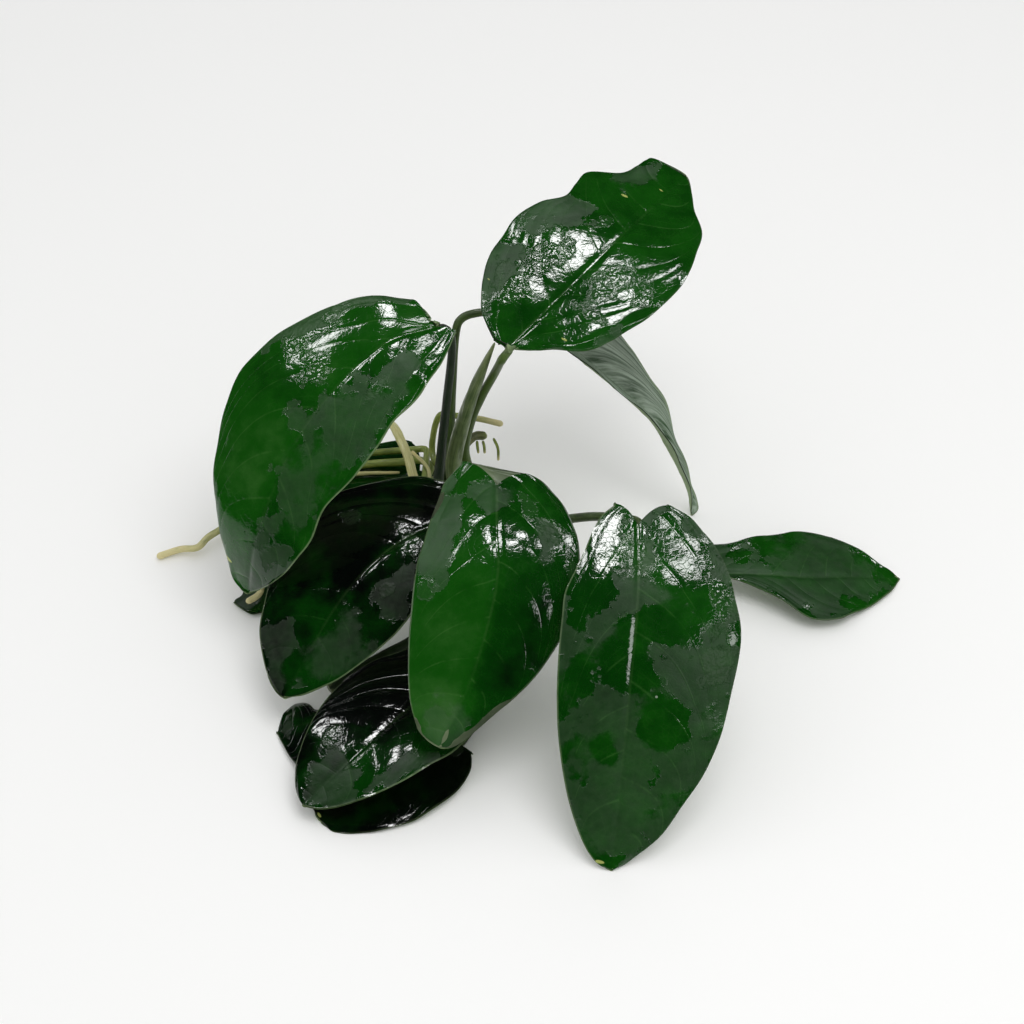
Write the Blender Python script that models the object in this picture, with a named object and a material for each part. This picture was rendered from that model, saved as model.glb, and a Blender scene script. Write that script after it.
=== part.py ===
"""A small rhizome plant with heart-based leaves, laid bare-root on a flat surface.

Metres, +Z up. The frame's origin is on the surface, below the middle of the plant. Places
and sizes in the tables are in millimetres; metres() turns a place into the frame's own.
"""

import math

import bmesh
import bpy
from mathutils import Vector

MM = 0.001

# Driving dimensions, in millimetres
BLADE_THICKNESS = 0.55
STALK_RADIUS = 1.15
GAP = 0.3
RHIZOME_RADIUS = 4.0

# The middle of the plant, as the tables have it
MIDDLE = Vector((0, 17, 0))

# How finely the sheets and tubes are divided
BLADE_COLUMNS = 8
BLADE_ROWS = 13
STALK_STEPS = 12
ROOT_STEP = 3.0
# Above 0, the steps of a stem lie closer together towards both its ends
CROWDING = 0.5

# Colour, roughness
FINISHES = {
    "leaf": ((0.012, 0.075, 0.012), 0.25),
    "stalk": ((0.10, 0.20, 0.025), 0.35),
    "young leaf": ((0.17, 0.28, 0.05), 0.4),
    "root": ((0.42, 0.45, 0.10), 0.5),
    "pale root": ((0.62, 0.56, 0.26), 0.5),
    "rhizome": ((0.13, 0.17, 0.04), 0.6),
}

# A side whose margin keeps the plain form
PLAIN = (0,) * 15
# The narrowest that a trimmed side gets on its way to the tip, in millimetres
LEAST_REACH = 0.6

# The rhizome's axis from its growing tip to its old end
RHIZOME_AXIS = [(-16.5, 53, 8.5), (-16, 44, 7.5), (-14, 32, 5.8), (-12, 19, 4.1)]
RHIZOME_RINGS = 15

# Each leaf's spine runs from the base of the blade to its tip. A side's numbers are the left
# one's, then the right one's, seen by someone who walks from base to tip on the upper side.
# face: where the upper side looks, at the base and at the tip
# half: widest half-width; belly: how far along it lies; neck: half-width at the base, as a share
# point: above 1 sharpens the tip; lobe: how far the base reaches back; shoulder: narrows the base
# trim: how far the measured margin stands out from that form, at even steps from base to tip
# fold: rise of a side for each mm outwards; droop: how much a side curls down again
# stalk: share along the rhizome, direction out of it, then the route's own places
LEAVES = {
    "top": {
        "spine": [(-4, 38, 58), (5.3, 46.2, 63), (18.5, 59.5, 69), (34.3, 81.8, 70.5)],
        "face": [(-0.1, -0.35, 1), (0.1, -0.2, 1)],
        "half": (18, 15.5), "belly": (0.52, 0.52), "point": (0.9, 1.6),
        "neck": (0.2, 0.12), "lobe": (0.5, -1), "fold": 0.1, "droop": 0.12,
        "trim": ((-2.5, 0, 0.7, 1.7, 2.7, 2.9, 2.9, 1.4, -1.7, -0.5, 1.1, -2.2, -1.1, 1.4, 3.5),
                 (-1.3, -1.5, -1.3, 1.2, 1.9, 1.8, 2.2, 1.9, 1.3, 0.7, 0.8, -1.3, -1.3, -0.9, -0.4)),
        "stalk": [0.1, (0.6, 0.1, 0.8), (-13.5, 50.4, 20), (-11.8, 48.8, 30), (-9.5, 46.8, 38),
                  (-6.4, 44, 47)],
    },
    "upper_left": {
        "spine": [(-18.5, 42.5, 60), (-30, 36.5, 59), (-44.7, 24, 48.7), (-54.5, 12.8, 30.5),
                  (-57.7, 11.2, 14.4)],
        "face": [(-0.2, -0.5, 0.9), (-0.45, -0.6, 0.6)],
        "half": (15.5, 17.8), "belly": (0.4, 0.45), "point": (1.3, 1.05),
        "neck": (0.2, 0.15), "lobe": (3, -0.5), "fold": 0.05, "droop": 0.2,
        "trim": ((-1.8, -2, -1.2, -0.8, -0.4, -0.7, -1.4, -0.7, -0.5, -2, -0.5, -0.3, -0.9, -1.2, -1.1),
                 (1.4, -0.3, -1.7, -1.3, 0.4, 2, 3.5, 4, 2.3, 0.4, -0.8, -1.8, -0.8, -0.2, 0.7)),
        "stalk": [0.3, (-0.6, 0, 0.8), (-18.6, 44.5, 22), (-16.9, 44.5, 38), (-15.4, 44, 54)],
    },
    "centre": {
        "spine": [(-6, 14, 42), (-6, 2, 41), (-6, -9.5, 36.5), (-10.5, -22, 25), (-16.8, -32, 15.5)],
        "face": [(0, -0.5, 1), (-0.1, -0.8, 0.6)],
        "half": (16, 16), "belly": (0.36, 0.42), "point": (1.75, 0.95),
        "neck": (0.35, 0.45), "lobe": (3, 6.5), "fold": 0.05, "droop": 0.2,
        "trim": ((-0.3, -0.3, -0.4, -0.1, 0, 0, 0, -0.2, -0.1, -0.7, -1.1, -1.7, -1, -0.5, -0.5),
                 (-1.6, -1.9, -1.4, -1.9, -1.8, -1.1, -0.1, 0.2, 0.2, 0, -0.1, 0, 0.1, 0.5, 1.6)),
        "stalk": [0.42, (0.1, 0, 1), (-13, 37, 20), (-10, 29, 33)],
    },
    "front_right": {
        "spine": [(21.5, 1, 43), (21, -14, 38), (19, -30, 26), (16, -49.6, 0.3)],
        "face": [(0, -0.7, 0.8), (0, -0.7, 0.6)],
        "half": (19.5, 15), "belly": (0.38, 0.42), "point": (1.2, 1.35),
        "neck": (0.3, 0.3), "lobe": (4.5, 4.5), "fold": 0.05, "droop": 0.15,
        "trim": ((-1.1, -0.7, -0.9, -0.4, 0, 0.2, 0.8, 0.8, 0.2, 0.3, 0, -1, -1.2, -1.6, -0.9),
                 (-1.7, -1.5, -1.7, -1.8, -1.2, -0.3, -0.7, -0.9, -1, -0.7, -0.4, 0, 0.4, 0.8, 0.9)),
        "stalk": [0.5, (0.8, 0, 0.7), (-2, 29, 16), (8, 20, 27), (15, 11, 36)],
    },
    "lower_left": {
        "spine": [(-14.5, 18, 29.5), (-26, 11, 29), (-37.2, 1.5, 22.5), (-48.7, -13.1, 9)],
        "face": [(-0.1, -0.3, 1), (-0.3, -0.5, 0.9)],
        "half": (16.5, 17.5), "belly": (0.45, 0.45), "point": (1.0, 1.0),
        "neck": (0.45, 0.45), "lobe": (4, 4), "fold": 0.05, "droop": 0.2,
        "trim": ((-0.8, -1.8, -3, -4.2, -5.2, -5.8, -4.1, -3.1, -2.5, -2.7, -2.9, -3.1, -3.4, -2.9, -2),
                 (-0.6, -1.3, -0.5, 0, 0.8, 2.4, 3.2, 3.1, 2.3, 1.3, 0.4, 0, -0.7, -1, -0.8)),
        "stalk": [0.6, (-0.3, 0, 1), (-13.5, 28.5, 18)],
    },
    "front_left": {
        "spine": [(-12, -5.5, 10.5), (-21, -15.5, 12), (-32, -28, 10.5), (-43.4, -36.9, 4.2)],
        "face": [(0, -0.1, 1), (-0.25, -0.25, 0.9)],
        "half": (12.4, 14.5), "belly": (0.45, 0.5), "point": (1.0, 0.9),
        "neck": (0.45, 0.45), "lobe": (3, 3), "fold": 0.05, "droop": 0.15,
        "trim": ((0.1, 0.3, 0.5, 0.8, 1.1, 1.2, 1.1, 1, -0.2, -0.8, -1.2, -1.7, -1.7, -1.5, -1.4),
                 (0, 0, -0.2, -0.4, -0.5, 0.6, 1.5, 1, 0.6, 0.4, -0.2, -0.4, -0.4, -0.7, -0.7)),
        "stalk": [0.93, (0.5, -0.5, 0.7), (-7.5, 10, 10), (-9, 3, 9.6)],
    },
    "floor_front": {
        "spine": [(-15, -19, 3.2), (-22, -24.5, 3), (-32, -31, 2), (-40.5, -37.2, 0.3)],
        "face": [(0, 0, 1), (0, 0, 1)],
        "half": (11.4, 12.5), "belly": (0.5, 0.5), "point": (0.95, 1.0),
        "neck": (0.5, 0.5), "lobe": (1, 1), "fold": 0.0, "droop": 0.1,
        "trim": ((-1.3, -1.1, -0.5, -0.2, 0.1, 0.2, 0.2, 0.2, -0.1, -0.2, -0.3, -0.4, -0.1, 0.4, 1.1),
                 PLAIN),
        "stalk": [0.84, (1, 0, 0.1), (-4, 10, 4), (-6.5, -6, 3)],
    },
    "floor_left": {
        "spine": [(-33, -16.7, 5.5), (-39, -16, 5), (-45, -15, 3.2), (-50.5, -14.6, 0.3)],
        "face": [(0, 0, 1), (0, 0, 1)],
        "half": (8.5, 6), "belly": (0.6, 0.6), "point": (0.8, 0.8),
        "neck": (0.45, 0.45), "lobe": (1, 1), "fold": 0.0, "droop": 0.1,
        "trim": ((0.1, 0.3, 0.6, 1, 1.5, 1.9, 2.2, 2.3, 1.5, 0.5, -0.6, -2, -2.7, -2.8, -2),
                 (0, 0, -0.3, -0.8, -1.4, -1.9, -2.2, -1.9, 0.1, 1.4, 2.2, 2.9, 2.9, 2.9, 3)),
        "stalk": [0.8, (-1, 0, -0.3), (-18.5, 10, 1.8), (-21.6, -4, 1.8), (-26.8, -13.4, 3.5)],
    },
    "back_right": {
        "spine": [(0, 68, 44.5), (10, 66.5, 36.5), (20, 62.5, 28.9), (28.5, 58, 22.3),
                  (33.9, 54.5, 13.8), (37, 52.3, 6.2), (37.9, 51, 0.3)],
        "face": [(0.62, -0.31, 0.72), (0.75, -0.2, 0.5)],
        "half": (6.8, 5), "belly": (0.3, 0.3), "point": (2.3, 2.2),
        "neck": (0.3, 0.3), "lobe": (2, 2), "fold": 0.8, "droop": 0.15,
        "trim": ((0, 0, 0, 0.2, 0.5, 0.8, 0.9, 1.3, -0.2, -1.8, -2.5, -1.8, -1.2, -0.1, 0),
                 PLAIN),
        "stalk": [0.11, (-0.35, 0, 0.93), (-17, 56, 18.5), (-16.2, 60, 30.6), (-15.4, 64.5, 40.5),
                  (-14, 67, 43.5), (-9.5, 68, 44.5)],
    },
    "floor_right": {
        "spine": [(37.5, 27.5, 5), (48, 25.5, 6.5), (60, 26, 5), (70, 28, 3), (81.7, 30.4, 0.3)],
        "face": [(0, -0.1, 1), (0, -0.1, 1)],
        "half": (13.5, 12.5), "belly": (0.55, 0.6), "point": (1.3, 1.6),
        "neck": (0.3, 0.05), "lobe": (2, 0), "fold": 0.05, "droop": 0.1, "shoulder": (1, 2.5),
        "trim": ((0.2, 0.5, -0.6, -1.9, -2.2, -1.4, -0.5, 0.5, 0.6, 0.1, -0.4, -0.9, -1.8, -1.2, -1),
                 (0, -0.6, -2.1, -3.7, -4.5, -3.5, -0.8, -0.8, -1.8, -2.1, -2, -1.7, -1.1, -0.7, -0.2)),
        "stalk": [0.66, (1, 0, 0.1), (6, 29.8, 5.6), (22, 29.1, 5)],
    },
    "back_left": {
        "spine": [(-24, 60, 6.3), (-35, 51.5, 5.8), (-48, 36, 3.5), (-63, 22.8, 0.3)],
        "face": [(0, 0, 1), (0, 0, 1)],
        "half": (12, 15), "belly": (0.45, 0.35), "point": (1.2, 1.2),
        "neck": (0.25, 0.6), "lobe": (0, 4), "fold": 0.05, "droop": 0.1,
        "trim": ((0, 0, 0, 0, 0, 0, 0, 0, 0, 0, 0.4, 1.1, 2, 2.9, 3.5),
                 (0, 0, 0, 0, 0, 0, 0, 0, 0, -0.5, -1.2, -2.2, -3.2, -4, -1.5)),
        "stalk": [0.0, (0, 1, -0.5), (-16.5, 61, 5)],
    },
}

# The young leaf, still rolled, beside the top leaf's stalk
ROLLED_ROUTE = [(-15.8, 47.7, 19.3), (-14.1, 46.8, 28.8), (-11.8, 45.6, 38.2), (-8.9, 43.9, 48.1),
                (-6.5, 42.7, 55.5)]
ROLLED_START = (0.2, (0.1, 0, 1))
ROLLED_RADII = (1.9, 1.85, 1.8, 1.75, 1.7, 1.6, 1.5, 1.3, 1.0, 0.65, 0.25)

# Each root: share along the rhizome and direction out of it, or None for a side branch; its
# places; its radius at the start and the end; its colour
ROOTS = {
    "root_long": ((0.04, (-1, 0.5, 0)), [(-21.5, 58, 8.9), (-24.3, 60.4, 8.6), (-28.4, 59.9, 8.4),
                  (-36, 59.6, 8), (-45, 58.5, 7), (-54, 54.5, 5.2), (-64, 46.8, 3), (-70, 41, 3),
                  (-72.5, 38, 2.4), (-76.5, 38.5, 1.3), (-81.5, 36.5, 0.9)], 0.95, 0.75, "root"),
    "root_second": ((0.1, (-1, 0.3, 0.4)), [(-22.3, 57, 11), (-22.6, 61.7, 10.5), (-26.2, 62.7, 9.7),
                    (-36.3, 62.9, 8.4), (-46, 61, 8.6), (-51.5, 55, 8.2), (-57, 45, 5), (-58.8, 33, 3.4),
                    (-57.2, 24, 2.8), (-60, 20.6, 2.4)], 0.8, 0.7, "root"),
    "root_strap": ((0.38, (-1, 0, 0.3)), [(-22.5, 44, 11), (-24.7, 48.6, 13.5), (-26.1, 53.4, 15.5),
                   (-27.8, 57.5, 16.8), (-30, 62.7, 17), (-34, 67, 15), (-39, 69.5, 10.5)],
                   0.95, 1.05, "pale root"),
    "root_arch": ((0.02, (-0.7, 0.7, 0.6)), [(-20.9, 58.5, 12.6), (-20.8, 60, 15.5), (-19.3, 61.5, 20.6),
                  (-16.5, 62.5, 20), (-10.2, 62.4, 19), (-5, 62, 17.8)], 0.7, 0.7, "root"),
    "root_thin": ((0.2, (-1, 0, 0.5)), [(-21.6, 52.5, 12.3), (-25.6, 59.4, 12)], 0.45, 0.4, "pale root"),
    "root_cream": (None, [(-47, 54.2, 6.2), (-42, 56.6, 7), (-36.5, 57.3, 7.3), (-28.4, 57.2, 7.6)],
                   0.7, 0.3, "pale root"),
    "root_nub": ((0.0, (0.3, 0.6, 0.7)), [(-13.6, 58.5, 14.6), (-11.3, 60.5, 15.6), (-8.6, 61, 15.2)],
                 1.0, 1.0, "rhizome"),
    "rootlet_left": (None, [(-10.9, 60.7, 14.1), (-10.8, 60.5, 12.5), (-10.6, 60.2, 10.8)],
                     0.35, 0.3, "root"),
    "rootlet_middle": (None, [(-9.6, 61, 13.8), (-9.3, 61.2, 12), (-9.2, 61.1, 10)], 0.35, 0.3, "root"),
    "rootlet_right": (None, [(-7.2, 61, 14.6), (-6.2, 60.5, 12), (-6.1, 59.5, 9.2)], 0.35, 0.3, "root"),
    "root_under_back": ((0.2, (0.5, 0, -1)), [(-12.5, 50, 1.6), (-8, 53, 0.8)], 0.8, 0.6, "pale root"),
    "root_under_middle": ((0.5, (-0.5, 0, -1)), [(-18.5, 36, 0.9), (-24, 37, 0.8)], 0.8, 0.6, "pale root"),
    "root_under_side": ((0.55, (0.7, 0, -0.9)), [(-9, 33, 0.9), (-2, 36, 0.8)], 0.8, 0.6, "pale root"),
}

# The old stalk that was cut off, between two of the front leaves
STUB_START = (1.0, (-0.8, -0.6, 0.3))
STUB_ROUTE = [(-20, 10, 5.5), (-25, 3, 7.5), (-29.6, -0.5, 7.6), (-36, -5.2, 7), (-40.2, -8.3, 6)]


def metres(place):
    """A place of the tables, in the frame."""
    return (Vector(place) - MIDDLE) * MM


def along(places, share):
    """The point at a share of the length of a smooth curve through the places."""
    points = [Vector(p) for p in places]
    lengths = [0.0]
    for a, b in zip(points, points[1:]):
        lengths.append(lengths[-1] + (b - a).length)
    goal = max(0.0, min(1.0, share)) * lengths[-1]
    i = 0
    while i < len(points) - 2 and goal > lengths[i + 1]:
        i += 1
    t = (goal - lengths[i]) / (lengths[i + 1] - lengths[i])
    b, c = points[i], points[i + 1]
    a = points[i - 1] if i > 0 else 2 * b - c
    d = points[i + 2] if i + 2 < len(points) else 2 * c - b
    curve = 2 * b + (c - a) * t + (2 * a - 5 * b + 4 * c - d) * t**2
    return 0.5 * (curve + (3 * b - a - 3 * c + d) * t**3)


def direction(places, share):
    """The unit tangent of that curve."""
    step = 0.001
    return (along(places, share + step) - along(places, share - step)).normalized()


def trimmed(leaf, r, turn):
    """How far a side's measured margin stands out from the plain form, in millimetres."""
    values = (0, *leaf["trim"][r], 0)
    last = len(values) - 1
    at = turn / math.pi * last
    i = min(int(at), last - 1)
    t = at - i
    a, b, c, d = values[max(i - 1, 0)], values[i], values[i + 1], values[min(i + 2, last)]
    curve = 2 * b + (c - a) * t + (2 * a - 5 * b + 4 * c - d) * t**2
    return 0.5 * (curve + (3 * b - a - 3 * c + d) * t**3)


def blade_point(leaf, turn, side):
    """A point of the blade's upper side: turn goes from 0 at the base to pi at the tip."""
    r = 1 if side > 0 else 0
    out = abs(side)
    middle = sum(leaf["belly"]) / 2
    belly = middle + (leaf["belly"][r] - middle) * out
    sine = max(0.0, math.sin(turn))
    if turn < math.pi / 2:
        share = belly * (1 - math.cos(turn))
        shoulder = leaf.get("shoulder", (1, 1))[r]
        width = leaf["neck"][r] + (1 - leaf["neck"][r]) * sine**shoulder
    else:
        share = belly - (1 - belly) * math.cos(turn)
        width = sine ** leaf["point"][r]
    tangent = direction(leaf["spine"], share)
    face = Vector(leaf["face"][0]).lerp(Vector(leaf["face"][1]), share)
    right = tangent.cross(face).normalized()
    up = right.cross(tangent)
    half = leaf["half"][r]
    across = out * max(width * half + trimmed(leaf, r, turn), LEAST_REACH * sine)
    rise = leaf["fold"] * across - leaf["droop"] * across**2 / half
    back = leaf["lobe"][r] * (1 - (1 - out) ** 2) * (1 - share) ** 3
    point = along(leaf["spine"], share) + right * math.copysign(across, side)
    point += up * rise - tangent * back
    point.z = max(point.z, BLADE_THICKNESS * up.z)
    return point


def finish(kind):
    """One material for each object, with its colour and roughness."""
    colour, roughness = FINISHES[kind]
    mat = bpy.data.materials.new(kind)
    mat.use_nodes = True
    shader = mat.node_tree.nodes["Principled BSDF"]
    shader.inputs["Base Color"].default_value = (*colour, 1)
    shader.inputs["Roughness"].default_value = roughness
    mat.diffuse_color = (*colour, 1)
    return mat


def add(name, data, kind):
    """Links a new object to the plant's collection and gives it its material."""
    obj = bpy.data.objects.new(name, data)
    plant.objects.link(obj)
    data.materials.append(finish(kind))
    return obj


def blade(name, leaf):
    """A grid bent to the leaf's shape, with its tip closed and its thickness below."""
    bm = bmesh.new()
    bmesh.ops.create_grid(bm, x_segments=BLADE_COLUMNS, y_segments=BLADE_ROWS, size=1)
    for v in bm.verts:
        turn = (v.co.y + 1) / 2 * math.pi
        v.co = metres(blade_point(leaf, turn, v.co.x))
    bmesh.ops.remove_doubles(bm, verts=bm.verts, dist=0.02 * MM)
    bmesh.ops.recalc_face_normals(bm, faces=bm.faces)
    if sum(f.normal.dot(Vector(leaf["face"][0])) for f in bm.faces) < 0:
        bmesh.ops.reverse_faces(bm, faces=bm.faces)
    bmesh.ops.solidify(bm, geom=bm.faces, thickness=BLADE_THICKNESS * MM)
    for v in bm.verts:
        v.co.z = max(v.co.z, 0.0)
    mesh = bpy.data.meshes.new(name)
    bm.to_mesh(mesh)
    bm.free()
    obj = add(name, mesh, "leaf")
    mesh.shade_smooth()
    mesh.set_sharp_from_angle(angle=math.radians(50))
    return obj


def crowded(share):
    """Moves a share of a route closer to the nearer end."""
    return share - CROWDING * math.sin(2 * math.pi * share) / (2 * math.pi)


def tube(name, points, radii, kind, sides=2):
    """A round stem or root: a poly curve with filled caps, radii in millimetres."""
    curve = bpy.data.curves.new(name, "CURVE")
    curve.dimensions = "3D"
    curve.bevel_depth = MM
    curve.bevel_resolution = sides
    curve.use_fill_caps = True
    spline = curve.splines.new("POLY")
    spline.points.add(len(points) - 1)
    for spot, place, radius in zip(spline.points, points, radii):
        spot.co = (*metres(place), 1)
        spot.radius = radius
    spline.use_smooth = True
    return add(name, curve, kind)


def off_rhizome(share, out, reach=0.0):
    """A point off the rhizome's skin: share along its axis, in direction out."""
    tangent = direction(RHIZOME_AXIS, share)
    out = Vector(out)
    if 0.05 < share < 0.95:
        out = out - tangent * out.dot(tangent)
    return along(RHIZOME_AXIS, share) + out.normalized() * (RHIZOME_RADIUS + GAP + reach)


def stem_points(start, places, steps):
    """A start square to the rhizome, then steps along a smooth curve through the places."""
    outset = [off_rhizome(*start)] if start else []
    route = [off_rhizome(*start, 2.0)] if start else []
    route += [Vector(p) for p in places]
    return outset + [along(route, crowded(i / steps)) for i in range(steps + 1)]


def stalk(name, leaf):
    """From its sheath on the rhizome to its end below the blade's base."""
    share, out, *route = leaf["stalk"]
    tip_radius = 0.75 * STALK_RADIUS
    tangent = direction(leaf["spine"], 0.0)
    right = tangent.cross(Vector(leaf["face"][0])).normalized()
    up = right.cross(tangent)
    clear = BLADE_THICKNESS * math.hypot(1, leaf["fold"]) + GAP + tip_radius
    end = along(leaf["spine"], 0.0) + tangent - up * clear
    points = stem_points((share, out), [*route, end - tangent * 3 - up * 0.8, end], STALK_STEPS)
    radii = []
    for i, point in enumerate(points):
        share = i / STALK_STEPS
        flare = max(0.0, 1 - share * 3)
        radii.append(STALK_RADIUS * (1 + 0.3 * flare) + (tip_radius - STALK_RADIUS) * share)
        point.z = max(point.z, radii[-1])
    return tube(name, points, radii, "stalk")


def rolled_leaf():
    """The young leaf: a tight roll that tapers to its point."""
    points = stem_points(ROLLED_START, ROLLED_ROUTE, len(ROLLED_RADII) - 2)
    return tube("rolled_leaf", points, ROLLED_RADII, "young leaf")


def stalk_stub():
    """The old stalk, cut off square."""
    points = stem_points(STUB_START, STUB_ROUTE, STALK_STEPS)
    return tube("stalk_stub", points, [STALK_RADIUS] * len(points), "stalk")


def rhizome():
    """The creeping stem, with a ring where each old leaf stood."""
    points, radii = [], []
    for i in range(RHIZOME_RINGS):
        share = i / (RHIZOME_RINGS - 1)
        points.append(along(RHIZOME_AXIS, share))
        ring = 0.93 + 0.07 * (i % 2)
        blunt = min(1.0, 0.55 + 3 * share, 0.6 + 3 * (1 - share))
        radii.append(RHIZOME_RADIUS * ring * blunt)
    return tube("rhizome", points, radii, "rhizome", sides=3)


def root(name, start, route, radius, end, kind):
    """A root off the rhizome, or a side branch, through its places."""
    length = sum((Vector(b) - Vector(a)).length for a, b in zip(route, route[1:]))
    points = stem_points(start, route, max(3, round(length / ROOT_STEP)))
    last = len(points) - 1
    radii = [radius + (end - radius) * i / last for i in range(last + 1)]
    return tube(name, points, radii, kind, sides=1)


for old in list(bpy.data.objects):
    bpy.data.objects.remove(old)
plant = bpy.data.collections.new("anubias nana plant")
bpy.context.scene.collection.children.link(plant)

rhizome()
rolled_leaf()
stalk_stub()
for leaf_name, leaf in LEAVES.items():
    blade("blade_" + leaf_name, leaf)
    stalk("stalk_" + leaf_name, leaf)
for root_name, values in ROOTS.items():
    root(root_name, *values)
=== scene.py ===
# %% [markdown]
# A small rhizome plant with heart-based leaves
# The plant lies bare-root on a white table: eleven glossy leaves on stalks, one young leaf that is
# still rolled, a creeping stem called the rhizome, and green roots with cream tips. The solids of the
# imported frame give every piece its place. This lesson replaces each of them with a finer mesh of the
# same form, and adds what a solid leaves out: veins, waves, sheaths, hairs and the wet shine.

# %% Frame and sizes
import math
import random

import bmesh
import bpy
from mathutils import Matrix, Vector, noise


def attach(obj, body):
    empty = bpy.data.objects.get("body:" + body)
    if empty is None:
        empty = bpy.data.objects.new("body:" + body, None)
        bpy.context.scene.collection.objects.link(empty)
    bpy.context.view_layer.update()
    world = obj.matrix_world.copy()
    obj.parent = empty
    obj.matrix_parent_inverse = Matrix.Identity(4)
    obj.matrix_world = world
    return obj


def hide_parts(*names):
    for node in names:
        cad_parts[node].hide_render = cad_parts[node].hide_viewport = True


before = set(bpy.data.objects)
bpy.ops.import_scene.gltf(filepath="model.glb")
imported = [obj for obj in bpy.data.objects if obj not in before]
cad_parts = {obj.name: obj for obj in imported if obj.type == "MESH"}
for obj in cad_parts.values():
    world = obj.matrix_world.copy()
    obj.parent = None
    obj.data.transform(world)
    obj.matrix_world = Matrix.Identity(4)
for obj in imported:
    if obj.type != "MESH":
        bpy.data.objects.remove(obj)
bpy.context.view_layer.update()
MM = 0.001


# %% [markdown]
# The camera
# The plant is seen from the front and well above, about 42 degrees over the table, from a bit less
# than half a metre away. A camera could be turned by angles, but aiming it at a point is easier to
# read: the direction from the camera to its target becomes its own -Z axis.

# %% Camera
AIM = Vector((-3, 2, 30)) * MM
ELEVATION = math.radians(42)
DISTANCE = 420 * MM
LENS = 72

camera = bpy.data.objects.new("camera", bpy.data.cameras.new("camera"))
bpy.context.scene.collection.objects.link(camera)
towards = Vector((0, math.cos(ELEVATION), -math.sin(ELEVATION)))
camera.location = AIM - towards * DISTANCE
camera.rotation_euler = towards.to_track_quat("-Z", "Y").to_euler()
camera.data.lens = LENS
camera.data.sensor_width = 36
camera.data.clip_start = 0.01
bpy.context.scene.camera = camera
print("camera at", [round(1000 * x) for x in camera.location], "mm")


# %% [markdown]
# The table and the light
# Wet leaves are mirrors as much as they are green: they show whatever stands above them. One kind of
# light can't give both a bright white table and near-black leaves with crisp highlights. So the light
# is in two parts. A white sky and one broad lamp light everything softly, but no reflection shows
# them. Four softboxes are seen in reflections only: one overhead, which the level leaves mirror, and
# three low ones for the blades that lean to the left, to the right and to the front.

# %% Table, sky and softboxes
SKY_LIGHT = 0.74
SKY_MIRRORED = 0.02
# Each: name, place, size, brightness, and whether it's the mirrored kind
SOFTBOXES = [
    ("lamp", (0.12, -0.16, 0.60), (0.36, 0.36), 3.1, False),
    ("mirrored_top", (-0.03, 0.21, 0.75), (0.15, 0.13), 32, True),
    ("mirrored_left", (-0.50, 0.34, 0.75), (0.24, 0.14), 22, True),
    ("mirrored_right", (0.26, 0.18, 0.75), (0.08, 0.20), 22, True),
    ("mirrored_front", (0.58, -0.46, 0.72), (0.36, 0.30), 8, True),
]

bm = bmesh.new()
bmesh.ops.create_grid(bm, x_segments=1, y_segments=1, size=4)
table_mesh = bpy.data.meshes.new("table")
bm.to_mesh(table_mesh)
bm.free()
table = bpy.data.objects.new("table", table_mesh)
bpy.context.scene.collection.objects.link(table)
white = bpy.data.materials.new("white table")
white.use_nodes = True
white.node_tree.nodes["Principled BSDF"].inputs["Base Color"].default_value = (0.95, 0.95, 0.94, 1)
white.node_tree.nodes["Principled BSDF"].inputs["Roughness"].default_value = 0.8
white.node_tree.nodes["Principled BSDF"].inputs["Specular IOR Level"].default_value = 0
table_mesh.materials.append(white)

world = bpy.data.worlds.new("sky")
bpy.context.scene.world = world
world.use_nodes = True
sky = world.node_tree.nodes["Background"]
rays = world.node_tree.nodes.new("ShaderNodeLightPath")
level = world.node_tree.nodes.new("ShaderNodeMapRange")
level.inputs["To Min"].default_value = SKY_LIGHT
level.inputs["To Max"].default_value = SKY_MIRRORED
world.node_tree.links.new(rays.outputs["Is Glossy Ray"], level.inputs["Value"])
world.node_tree.links.new(level.outputs["Result"], sky.inputs["Strength"])
sky.inputs["Color"].default_value = (1, 1, 1, 1)

for name, place, size, brightness, mirrored in SOFTBOXES:
    light = bpy.data.lights.new(name, "AREA")
    light.shape = "RECTANGLE"
    light.size, light.size_y = size
    light.energy = brightness * size[0] * size[1] * math.pi
    box = bpy.data.objects.new(name, light)
    box.location = place
    box.rotation_euler = (AIM - Vector(place)).to_track_quat("-Z", "Y").to_euler()
    box.visible_diffuse = not mirrored
    box.visible_glossy = mirrored
    bpy.context.scene.collection.objects.link(box)
bpy.context.scene.view_settings.view_transform = "Standard"
print("light:", len(SOFTBOXES), "softboxes and a sky")


# %% [markdown]
# Smooth lines through a few places
# Spines, stalks and roots all follow a line. A Bezier curve object would do, but here the points are
# needed in Python, so a Catmull-Rom spline is worked out by hand: it passes through every place, and
# it's read by its share of the length. Places are in millimetres, as the table MIDDLE has them.

# %% Routes
MIDDLE = Vector((0, 17, 0))


def metres(place):
    """A place of the tables, in the frame."""
    return (Vector(place) - MIDDLE) * MM


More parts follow.
